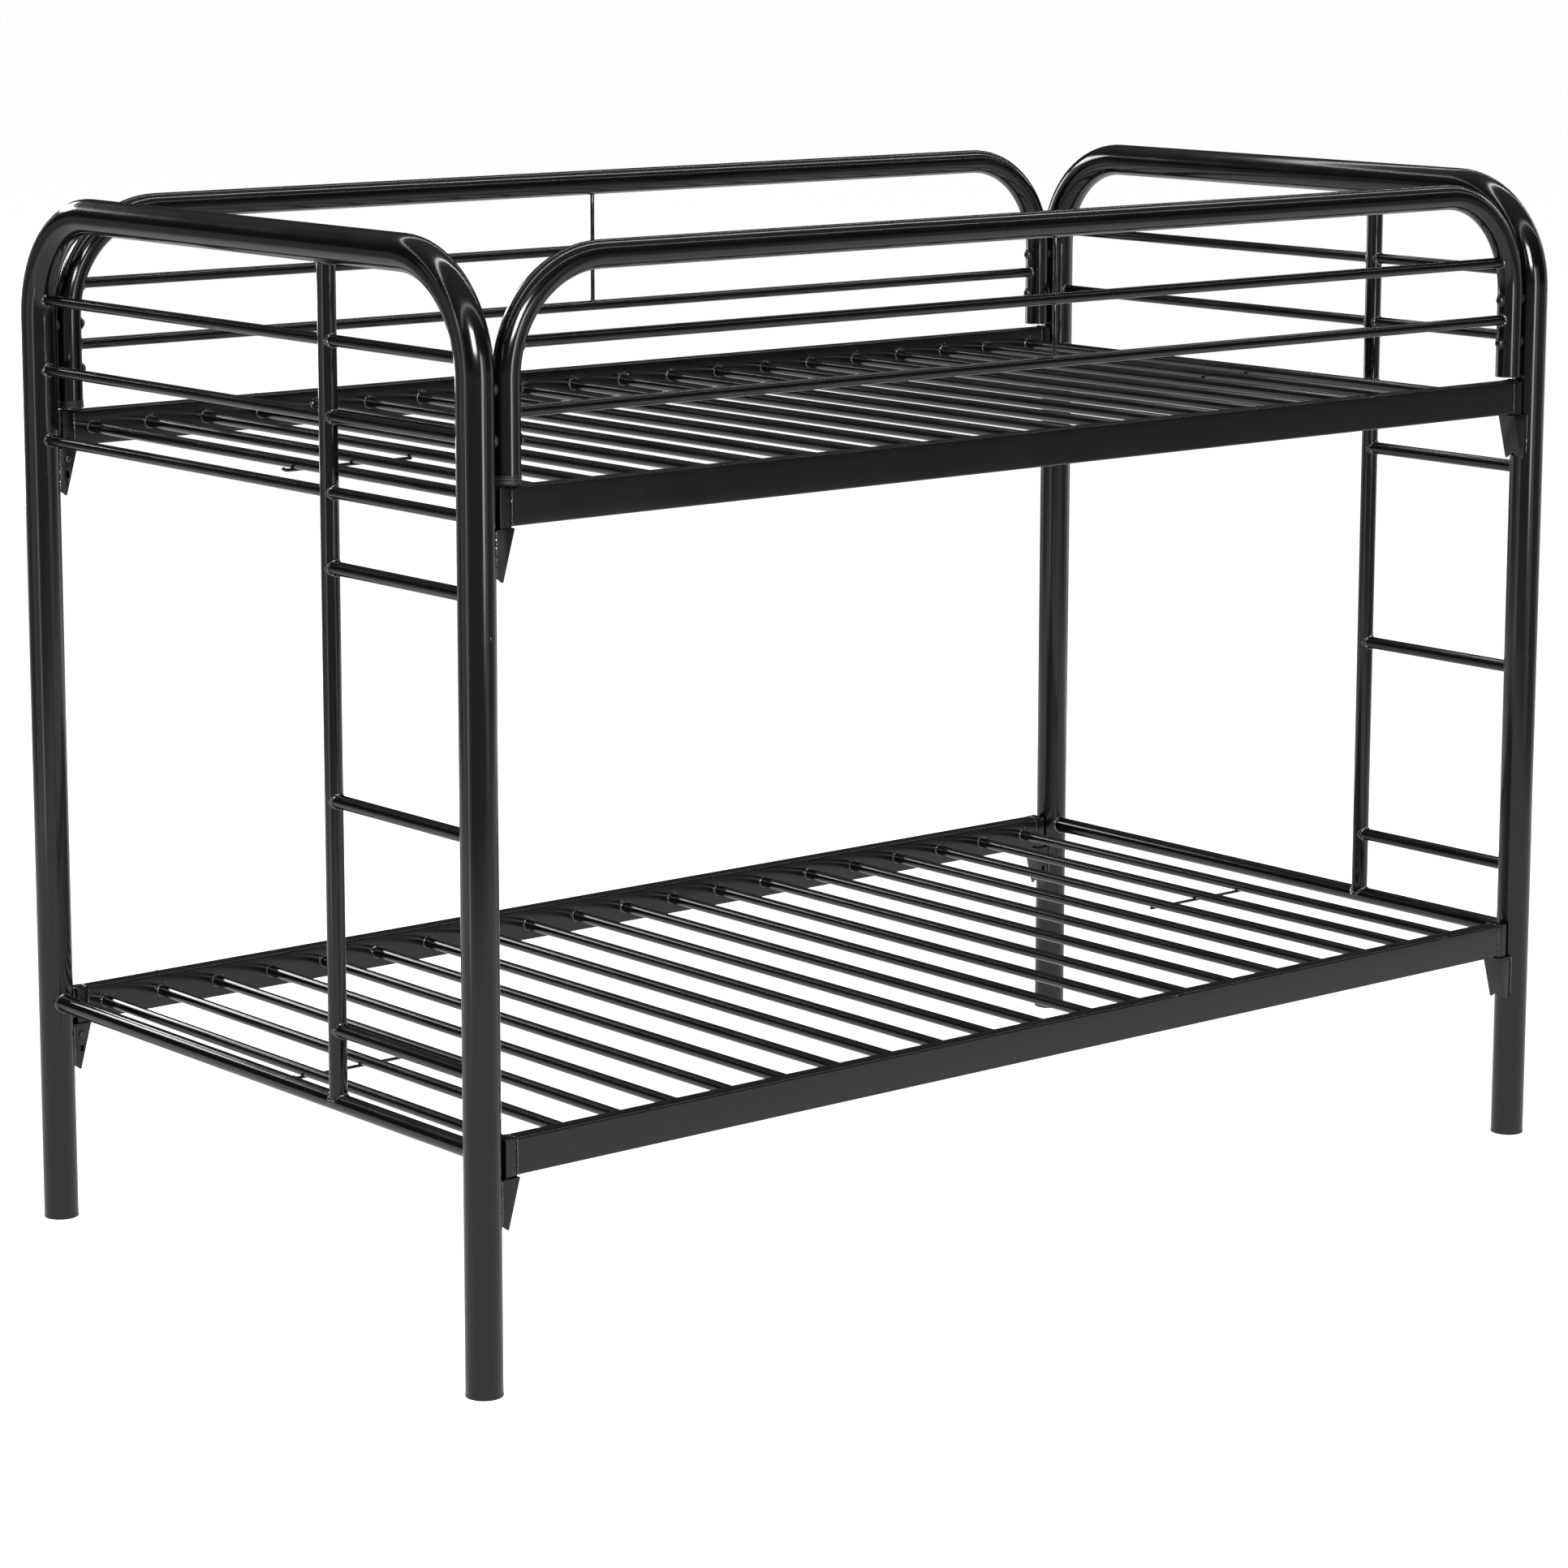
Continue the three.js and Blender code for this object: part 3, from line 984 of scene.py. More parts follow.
@dataclass
class EndFrame:
    """An inverted-U hoop with a ladder, six thin rails and a cross rail welded in."""

    end: End
    finishes: Finishes
    bend_mm: float = 152.4
    wall_mm: float = 1.2
    thin_wall_mm: float = 1.0
    bead_mm: float = 4.6
    drop_height_mm: float = 1016.0
    drop_radius_mm: float = 1.5
    root_mm: float = 4.5  # how far a stout tube reaches into the one it meets

    def build(self) -> Hoop:
        """Makes the frame's pieces and returns the hoop's sizes."""
        self.label = self.end.name.lower()
        node = f"end_hoop_{self.label}"
        low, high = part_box(node)
        radius = (high.x - low.x) / 2
        self.x = (high.x + low.x) / 2
        self.hoop = Hoop(
            name=f"bent_hoop_{self.label}",
            middle=Vector((self.x, 0, 0)),
            across=ACROSS,
            half_width=(high.y - low.y) / 2 - radius,
            foot_z=low.z,
            top_z=high.z - radius,
            bend=self.bend_mm * MM,
            radius=radius,
            wall=self.wall_mm * MM,
        )
        dress(self.hoop.build(), self.finishes.tube, [node])
        self.beads: list[bpy.types.Object] = []
        self.masters: dict[tuple[float, float], bpy.types.Object] = {}
        self._upright_and_cross_rail()
        self._rails_and_rungs()
        self._paint_drop()
        beads = join_pieces(f"frame_welds_{self.label}", self.beads)
        dress(beads, self.finishes.weld)
        discard(*self.masters.values())
        return self.hoop

    def _bead(
        self, radius: float, host: float, point: Vector, outwards: Vector, along: Vector
    ) -> None:
        """Adds a weld ring where a tube of one radius meets a host of another."""
        key = (round(radius, 5), round(host, 5))
        if key not in self.masters:
            self.masters[key] = weld_ring(
                radius, host, self.bead_mm * MM, len(self.masters) + 3
            )
        name = f"bead_{self.label}_{len(self.beads)}"
        matrix = seat(point, outwards, along)
        self.beads.append(copy_of(self.masters[key], name, matrix))

    def _paint_drop(self) -> None:
        """Makes the small drop of paint on one post of each frame."""
        side = self.end.value
        post = Vector((self.x, side * self.hoop.half_width, self.drop_height_mm * MM))
        face = Vector((-side * 0.125, side * 0.992, 0)) * (self.hoop.radius - 0.4 * MM)
        size = self.drop_radius_mm * MM
        self.beads.append(weld_drop("paint_drop", size, post + face, (1.0, 0.9, 1.9)))

    def _upright_and_cross_rail(self) -> None:
        """Makes the ladder's inner upright and the rail that it stands on."""
        cross_node = f"cross_rail_{self.label}"
        upright_node = f"ladder_upright_{self.label}"
        radius = span_of(cross_node).z / 2
        cross_z = centre_of(cross_node).z
        self.upright_y = centre_of(upright_node).y
        self.upright_radius = radius
        hoop = self.hoop
        reach = hoop.half_width - hoop.radius + self.root_mm * MM
        cross = straight_tube(
            f"cross_tube_{self.label}",
            Vector((self.x, -reach, cross_z)),
            Vector((self.x, reach, cross_z)),
            radius,
            self.wall_mm * MM,
        )
        dress(cross, self.finishes.tube, [cross_node])
        upright = straight_tube(
            f"upright_tube_{self.label}",
            Vector((self.x, self.upright_y, cross_z + 1.5 * MM)),
            Vector((self.x, self.upright_y, hoop.top_z - hoop.radius + self.root_mm * MM)),
            radius,
            self.wall_mm * MM,
        )
        dress(upright, self.finishes.tube, [upright_node])
        for side in Side:
            post_face = side.value * (hoop.half_width - hoop.radius)
            self._bead(
                radius,
                hoop.radius,
                Vector((self.x, post_face, cross_z)),
                ACROSS * -side.value,
                UP,
            )
        foot = Vector((self.x, self.upright_y, cross_z + radius))
        head = Vector((self.x, self.upright_y, hoop.top_z - hoop.radius))
        self._bead(radius, radius, foot, UP, ACROSS)
        self._bead(radius, hoop.radius, head, -UP, ACROSS)

    def _rails_and_rungs(self) -> None:
        """Makes the thin rails and the rungs, each from the node that it stands for."""
        jobs = [
            (f"end_rail_{side}_{self.label}_{i}", f"thin_rail_{side}_{self.label}_{i}")
            for side in ("front", "rear")
            for i in (1, 2, 3)
        ] + [
            (f"ladder_rung_{self.label}_{i}", f"rung_{self.label}_{i}")
            for i in (1, 2, 3)
        ]
        for node, name in jobs:
            middle = centre_of(node)
            radius = span_of(node).z / 2
            sign = -1 if middle.y < self.upright_y else 1
            inset, lean = self.hoop.axis_at(middle.z)
            at_post = sign * (self.hoop.half_width - inset - self.hoop.radius)
            at_upright = self.upright_y + sign * self.upright_radius
            outer = Vector((self.x, at_post + sign * 1.6 * MM, middle.z))
            inner = Vector((self.x, at_upright - sign * 3.0 * MM, middle.z))
            tube = straight_tube(
                name, inner, outer, radius, self.thin_wall_mm * MM, sides=32
            )
            dress(tube, self.finishes.tube, [node])
            host = UP * math.cos(lean) - ACROSS * sign * math.sin(lean)
            self._bead(
                radius,
                self.hoop.radius,
                Vector((self.x, at_post, middle.z)),
                ACROSS * -sign,
                host,
            )
            self._bead(
                radius,
                self.upright_radius,
                Vector((self.x, at_upright, middle.z)),
                ACROSS * sign,
                UP,
            )


# ---------------------------------------------------------------- decks


@dataclass
class DeckFrame:
    """Two rectangular side rails, twenty slats, two tie rods and four hooks, all welded."""

    level: Level
    bottom_mm: float
    finishes: Finishes
    rail_height_mm: float = 50.8
    rail_width_mm: float = 25.4
    rail_wall_mm: float = 1.5
    rail_corner_mm: float = 2.6
    rail_mouth_mm: float = 25.0
    slat_count: int = 20
    slat_pitch_mm: float = 98.0
    slat_radius_mm: float = 7.94
    slat_wall_mm: float = 1.0
    slat_bead_mm: float = 3.8
    tie_radius_mm: float = 2.4
    tie_inner_mm: float = 2.4
    tie_outer_mm: float = 8.0
    tie_bend_mm: float = 14.0
    hook_inner_mm: float = 28.9
    hook_outer_mm: float = 47.5
    hook_tongue_mm: float = 52.0
    hook_plate_mm: float = 2.5
    shoulder_mm: tuple[float, float, float] = (46.8, 0.0, -1.5)
    taper_mm: tuple[float, float] = (16.4, 50.5)  # the tongue's run and fall
    side_bead_mm: float = 3.0
    top_bead_mm: float = 2.8
    drops_mm: tuple[float, ...] = (1.0, 1.4, 1.9)
    tack_step_mm: float = 6.5

    def build(self) -> None:
        """Makes the deck's pieces."""
        self.label = self.level.value
        self.node = [f"deck_{self.label}"]
        self.post = centre_of("foot_glide_right_rear")
        self.half = self.rail_width_mm * MM / 2
        self.bottom = self.bottom_mm * MM
        self.axis_z = self.bottom + self.rail_height_mm * MM / 2
        self._side_rails()
        self._hooks()
        self._slats()
        self._tie_rods()

    def _slat_x(self, number: int) -> float:
        """Finds a slat's place along the bed, counted from 0 at the left."""
        return (number - (self.slat_count - 1) / 2) * self.slat_pitch_mm * MM

    def _side_rails(self) -> None:
        """Makes the two side rails, bevelled along their corners and open at the ends."""
        length = 2 * (self.post.x - self.hook_outer_mm * MM)
        size = (length, 2 * self.half, self.rail_height_mm * MM)
        for side in Side:
            centre = (0, side.value * self.post.y, self.axis_z)
            name = f"side_rail_{self.label}_{side.name.lower()}"
            piece = add_block(name, centre, size)
            round_edges(
                piece,
                lambda a, b: abs((a - b).normalized().x) > 0.99,
                self.rail_corner_mm * MM,
                5,
            )
            for outwards in (ALONG, -ALONG):
                hollow_mouth(
                    piece, outwards, self.rail_wall_mm * MM, self.rail_mouth_mm * MM
                )
            close_piece(piece)
            dress(piece, self.finishes.deck, self.node)

    def _hooks(self) -> None:
        """Makes the folded hook once and copies it to the four corners."""
        low, high = self.hook_inner_mm * MM, self.hook_outer_mm * MM
        top, tip = self.rail_height_mm * MM, -self.hook_tongue_mm * MM
        hook = add_block(
            "hook_master",
            ((low + high) / 2, 0, (top + tip) / 2),
            (high - low, 2 * self.half, top - tip),
        )
        run, fall = self.taper_mm
        cut_off(Vector(self.shoulder_mm) * MM, Vector((fall, 0, -run)))
        pick_faces(hook, lambda _, normal: normal.x > 0.5 or normal.z < -0.5)
        bpy.ops.mesh.delete(type="FACE")
        close_piece(hook, recalculate=False)
        thicken(hook, self.hook_plate_mm)
        soften(hook, 0.8)
        hook = join_pieces("hook_master", [hook, self._hook_tab((low + high) / 2, top)])
        bpy.ops.object.shade_smooth_by_angle(angle=math.radians(35))
        seams = [
            weld_seam(
                "seam",
                Vector((high, y, 2 * MM)),
                Vector((high, y, top - 3 * MM)),
                self.side_bead_mm * MM,
                11,
            )
            for y in (-self.half, self.half)
        ]
        inset = self.half - 2 * MM
        start, end = Vector((high, -inset, top)), Vector((high, inset, top))
        seams.append(weld_seam("seam", start, end, self.top_bead_mm * MM, 12))
        seam = join_pieces("hook_seam_master", seams)
        for end, side, corner in corners():
            matrix = corner_frame(end, side, self.post, self.bottom)
            piece = copy_of(hook, f"hook_{self.label}_{corner}", matrix)
            dress(piece, self.finishes.plate, self.node)
            bead = copy_of(seam, f"hook_weld_{self.label}_{corner}", matrix)
            dress(bead, self.finishes.weld)
        discard(hook, seam)

    def _hook_tab(self, x: float, top: float) -> bpy.types.Object:
        """Makes the small raised tab that is folded over the hook's top."""
        size = (7 * MM, 15 * MM, 2.4 * MM)
        tab = add_block("hook_tab", (x, 0, top + 0.8 * MM), size)
        pick_faces(tab, lambda _, normal: normal.z > 0.9)
        bpy.ops.mesh.bevel(offset=0.7 * MM, segments=3, affect="EDGES")
        return close_piece(tab)

    def _slats(self) -> None:
        """Makes one slat and its weld rings, then copies them along the deck."""
        reach = self.post.y - self.half
        root = 0.4 * MM  # how far a slat's end goes into the rail
        radius = self.slat_radius_mm * MM
        master = straight_tube(
            "slat_master",
            Vector((0, -reach - root, self.axis_z)),
            Vector((0, reach + root, self.axis_z)),
            radius,
            self.slat_wall_mm * MM,
            sides=32,
        )
        bead = self.slat_bead_mm * MM
        rings = [weld_ring(radius, 0.0, bead, seed, 26) for seed in range(20, 24)]
        draw = random.Random(7)
        beads = []
        for i in range(self.slat_count):
            x = self._slat_x(i)
            name = f"slat_{self.label}_{i + 1:02d}"
            slat = copy_of(master, name, Matrix.Translation((x, 0, 0)))
            dress(slat, self.finishes.deck, self.node)
            for side in Side:
                point = Vector((x, side.value * reach, self.axis_z))
                turn = Matrix.Rotation(draw.uniform(0, 2 * math.pi), 4, "Z")
                matrix = seat(point, ACROSS * -side.value, ALONG) @ turn
                ring = rings[draw.randrange(len(rings))]
                beads.append(copy_of(ring, "slat_bead", matrix))
        beads.extend(self._spatter(draw, reach))
        welds = join_pieces(f"slat_welds_{self.label}", beads)
        dress(welds, self.finishes.weld)
        discard(master, *rings)

    def _spatter(self, draw: random.Random, reach: float) -> list[bpy.types.Object]:
        """Makes the drops above each slat's end and the tacks on the rails' top edges.

        Args:
            draw: Where the unevenness is drawn from.
            reach: How far the rails' inner faces are from the middle, in metres.

        Returns:
            The drops.
        """
        flat = (1.2, 0.9, 0.8)
        masters = [
            weld_drop("drop_master", size * MM, Vector(), flat) for size in self.drops_mm
        ]
        drops = []
        for i in range(self.slat_count):
            for side in Side:
                face = side.value * (reach - 0.2 * MM)
                lean = draw.uniform(-0.3, 0.3)
                for k in range(5):
                    turn = lean + math.radians(-62 + 31 * k)
                    out = (self.slat_radius_mm + draw.uniform(3.2, 5.6)) * MM
                    x = self._slat_x(i) + out * math.sin(turn)
                    z = self.axis_z + out * math.cos(turn)
                    matrix = Matrix.Translation((x, face, z))
                    drops.append(copy_of(draw.choice(masters), "drop", matrix))
        rail_y = self.post.y + self.half - 1.0 * MM
        rail_z = self.bottom + (self.rail_height_mm - 0.9) * MM
        tacks = {Level.UPPER: (0.637,), Level.LOWER: (0.245, 0.833)}[self.level]
        for tack in tacks:
            for sign in (-1, 1):
                for k, master in enumerate(masters):
                    x = (k - 1) * self.tack_step_mm * MM - sign * tack
                    matrix = Matrix.Translation((x, sign * rail_y, rail_z))
                    drops.append(copy_of(master, "drop", matrix))
        discard(*masters)
        return drops

    def _tie_rods(self) -> None:
        """Makes the rod under the last three slats at each end, turned up at its tip."""
        radius = self.tie_radius_mm * MM
        z = self.axis_z - self.slat_radius_mm * MM - radius + 0.3 * MM
        last = self._slat_x(self.slat_count - 1) + self.tie_outer_mm * MM
        length = (2 * self.slat_pitch_mm + self.tie_inner_mm + self.tie_outer_mm) * MM
        for end in End:
            outer = Vector((end.value * last, 0, z))
            inwards = ALONG * -end.value
            deselect_all()
            bpy.ops.mesh.primitive_circle_add(
                vertices=16,
                radius=radius,
                fill_type="NGON",
                location=outer + inwards * length,
                rotation=(-inwards).to_track_quat("Z", "Y").to_euler(),
            )
            rod = open_piece(f"tie_rod_{self.label}_{end.name.lower()}")
            bpy.ops.mesh.select_all(action="SELECT")
            extrude(-inwards * length)
            bpy.ops.mesh.spin(
                steps=5,
                angle=math.radians(38),
                center=tuple(outer + UP * self.tie_bend_mm * MM),
                axis=tuple(ACROSS * end.value),
            )
            close_piece(rod)
            dress(rod, self.finishes.deck, self.node)


# ---------------------------------------------------------------- sockets


@dataclass
class SocketSet:
    """The eight folded sockets on the posts, with their seams and lock screws."""

    finishes: Finishes
    back_mm: float = 18.2
    mouth_mm: float = 50.0
    tip_mm: float = 31.0
    depth_mm: float = 69.0
    half_mm: float = 16.0
    plate_mm: float = 2.5
    lip_mm: float = 2.0  # the socket's mouth below the side rail
    notch_mm: float = 9.0
    screw_x_mm: float = 33.0
    screw_drop_mm: float = 16.0
    slot_mm: tuple[float, float, float] = (5.0, 8.0, 9.0)
    slot_drop_mm: float = 22.0  # below the lock screw
    slot_inset_mm: float = 6.5
    seam_x_mm: float = 19.6
    seam_bead_mm: float = 4.2

    def build(self) -> None:
        """Makes one socket, seam pair and screw, and copies each to the eight corners."""
        post = centre_of("foot_glide_right_rear")
        socket = self._socket()
        seams = self._seams()
        screw = round_screw("lock_screw_master", 5.2, 3.4, 2.0, 8.0)
        place = Vector((self.screw_x_mm, self.half_mm, -self.screw_drop_mm)) * MM
        turn = seat(place, ACROSS, ALONG)
        for level, bottom in DECK_BOTTOMS_MM.items():
            for end, side, corner in corners():
                label = f"{level.value}_{corner}"
                matrix = corner_frame(end, side, post, (bottom - self.lip_mm) * MM)
                piece = copy_of(socket, f"folded_socket_{label}", matrix)
                dress(piece, self.finishes.plate, [f"socket_{label}"])
                bead = copy_of(seams, f"socket_welds_{label}", matrix)
                dress(bead, self.finishes.weld)
                lock = copy_of(screw, f"lock_screw_{label}", matrix @ turn)
                dress(lock, self.finishes.screw)
        discard(socket, seams, screw)

    def _socket(self) -> bpy.types.Object:
        """Folds one socket, its inner cheek on +Y."""
        back, mouth, tip = self.back_mm * MM, self.mouth_mm * MM, self.tip_mm * MM
        depth, half = self.depth_mm * MM, self.half_mm * MM
        piece = add_block(
            "socket_master",
            ((back + mouth) / 2, 0, -depth / 2),
            (mouth - back, 2 * half, depth),
        )
        cut_off(Vector((mouth, 0, 0)), Vector((depth, 0, tip - mouth)))
        cut_off(Vector((tip - 2 * MM, 0, -depth)), Vector((-0.6, 0, -0.8)))
        pick_faces(
            piece,
            lambda _, normal: abs(normal.z) > 0.9
            or normal.x < -0.9
            or (normal.x < -0.5 and normal.z < -0.7),
        )
        bpy.ops.mesh.delete(type="FACE")
        low = -depth + 0.1 * MM
        pick_edges(piece, lambda a, b: max(a.z, b.z) < low and abs(a.y - b.y) > half)
        bpy.ops.mesh.subdivide(number_cuts=1)
        mesh = bmesh.from_edit_mesh(piece.data)
        notch = self.notch_mm * MM
        for vert in mesh.verts:
            if abs(vert.co.y) < 0.1 * MM and vert.co.z < low:
                vert.co += Vector((notch * (mouth - tip) / depth, 0, notch))
        bmesh.update_edit_mesh(piece.data)
        close_piece(piece, recalculate=False)
        thicken(piece, self.plate_mm)
        self._slot(piece)
        soften(piece, 0.6)
        bpy.ops.object.shade_smooth_by_angle(angle=math.radians(35))
        return piece

    def _slot(self, piece: bpy.types.Object) -> None:
        """Punches the small slot beside the inner fold, below the lock screw."""
        drop = self.screw_drop_mm + self.slot_drop_mm
        web = self.mouth_mm - (self.mouth_mm - self.tip_mm) * drop / self.depth_mm
        centre = Vector((web - self.slot_inset_mm, self.half_mm, -drop)) * MM
        size = Vector(self.slot_mm) * MM
        punch_out(piece, add_block("slot_punch", tuple(centre), tuple(size)))

    def _seams(self) -> bpy.types.Object:
        """Makes the two weld seams between the cheeks and the post."""
        beads = []
        for k, y in enumerate((-self.half_mm, self.half_mm)):
            top = Vector((self.seam_x_mm, y, -1.5)) * MM
            foot = Vector((self.seam_x_mm, y, 8 - self.depth_mm)) * MM
            beads.append(weld_seam("seam", foot, top, self.seam_bead_mm * MM, 31 + k))
        return join_pieces("socket_seam_master", beads)


# ---------------------------------------------------------------- screws and small parts


def round_screw(
    name: str, head_mm: float, height_mm: float, hex_mm: float, shank_mm: float
) -> bpy.types.Object:
    """Makes a button-head screw with a hex socket, its head's seat at the origin.

    Args:
        name: The piece's name.
        head_mm: Radius of the head.
        height_mm: Height of the head.
        hex_mm: Radius of the hex socket's corners.
        shank_mm: Length of the shank below the head.

    Returns:
        The screw, its head towards +Z.
    """
    screw = add_disc(name, head_mm * MM, 0.0, height_mm * MM)
    below_top = (height_mm - 0.1) * MM
    round_edges(
        screw, lambda a, b: min(a.z, b.z) > below_top, 0.82 * height_mm * MM, 7
    )
    step_face(screw, -UP, 0.45 * head_mm * MM, -UP * shank_mm * MM)
    close_piece(screw)
    key = add_disc("hex_key", hex_mm * MM, height_mm / 2 * MM, height_mm * 1.5 * MM, 6)
    punch_out(screw, key)
    bpy.ops.object.shade_smooth_by_angle(angle=math.radians(35))
    return screw


def ring_washer(
    name: str, outer_mm: float, bore_mm: float, thick_mm: float
) -> bpy.types.Object:
    """Makes a flat ring round +Z, from the origin upwards.

    Args:
        name: The piece's name.
        outer_mm: Outer radius.
        bore_mm: Radius of the hole.
        thick_mm: Thickness.

    Returns:
        The ring.
    """
    ring = add_disc(name, outer_mm * MM, 0.0, thick_mm * MM)
    pick_faces(ring, lambda _, normal: abs(normal.z) > 0.9)
    bpy.ops.mesh.inset(
        thickness=(outer_mm - bore_mm) * MM, depth=0.0, use_individual=True
    )
    bpy.ops.mesh.bridge_edge_loops()
    rim = (outer_mm - 0.05) * MM
    round_edges(
        ring,
        lambda a, b: min(a.xy.length, b.xy.length) > rim and is_level(a, b),
        0.2 * thick_mm * MM,
        2,
    )
    return close_piece(ring)


# ---------------------------------------------------------------- guard rails


@dataclass
class GuardRail:
    """A bent hoop with two thin rails and a spindle, bolted between the posts."""

    side: Side
    finishes: Finishes
    bend_mm: float = 152.4
    wall_mm: float = 1.2
    thin_wall_mm: float = 1.0
    bead_mm: float = 4.4
    spindle_bead_mm: float = 2.2

    def build(self) -> None:
        """Makes the guard's pieces."""
        self.label = self.side.name.lower()
        node = f"guard_hoop_{self.label}"
        low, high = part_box(node)
        radius = (high.y - low.y) / 2
        self.y = (high.y + low.y) / 2
        self.hoop = Hoop(
            name=f"guard_bent_tube_{self.label}",
            middle=Vector((0, self.y, 0)),
            across=ALONG,
            half_width=(high.x - low.x) / 2 - radius,
            foot_z=low.z,
            top_z=high.z - radius,
            bend=self.bend_mm * MM,
            radius=radius,
            wall=self.wall_mm * MM,
            sides=56,
        )
        dress(self.hoop.build(), self.finishes.tube, [node])
        self.beads: list[bpy.types.Object] = []
        self._rails()
        self._spindle()
        welds = join_pieces(f"guard_welds_{self.label}", self.beads)
        dress(welds, self.finishes.weld)

    def _rails(self) -> None:
        """Makes the two thin rails and their weld rings."""
        hoop = self.hoop
        for level in Level:
            node = f"guard_rail_{self.label}_{level.value}"
            middle = centre_of(node)
            radius = span_of(node).z / 2
            inset, lean = hoop.axis_at(middle.z)
            reach = hoop.half_width - inset - hoop.radius
            tube = straight_tube(
                f"guard_thin_rail_{self.label}_{level.value}",
                Vector((-reach - 2 * MM, self.y, middle.z)),
                Vector((reach + 2 * MM, self.y, middle.z)),
                radius,
                self.thin_wall_mm * MM,
                sides=32,
            )
            dress(tube, self.finishes.tube, [node])
            master = weld_ring(radius, hoop.radius, self.bead_mm * MM, 41)
            for end in End:
                host = UP * math.cos(lean) - ALONG * end.value * math.sin(lean)
                point = Vector((end.value * reach, self.y, middle.z))
                matrix = seat(point, ALONG * -end.value, host)
                self.beads.append(copy_of(master, "bead", matrix))
            discard(master)

    def _spindle(self) -> None:
        """Makes the two short lengths of bar between the top tube and the rails."""
        rail_node = f"guard_rail_{self.label}_upper"
        low_z = centre_of(f"guard_rail_{self.label}_lower").z
        rail_z = centre_of(rail_node).z
        rail_radius = span_of(rail_node).z / 2
        bar_node = f"spindle_{self.label}_upper"
        radius = span_of(bar_node).x / 2
        x = centre_of(bar_node).x
        runs = {
            Level.UPPER: (rail_z + rail_radius, self.hoop.top_z - self.hoop.radius),
            Level.LOWER: (low_z + rail_radius, rail_z - rail_radius),
        }
        ring = weld_ring(radius, rail_radius, self.spindle_bead_mm * MM, 43, 20)
        for level, (foot, head) in runs.items():
            bar = straight_tube(
                f"spindle_bar_{self.label}_{level.value}",
                Vector((x, self.y, foot - 1 * MM)),
                Vector((x, self.y, head + 1 * MM)),
                radius,
                0.0,
                sides=20,
            )
            node = f"spindle_{self.label}_{level.value}"
            dress(bar, self.finishes.tube, [node])
            for z, outwards in ((foot, UP), (head, -UP)):
                matrix = seat(Vector((x, self.y, z)), outwards, ALONG)
                self.beads.append(copy_of(ring, "bead", matrix))
        discard(ring)


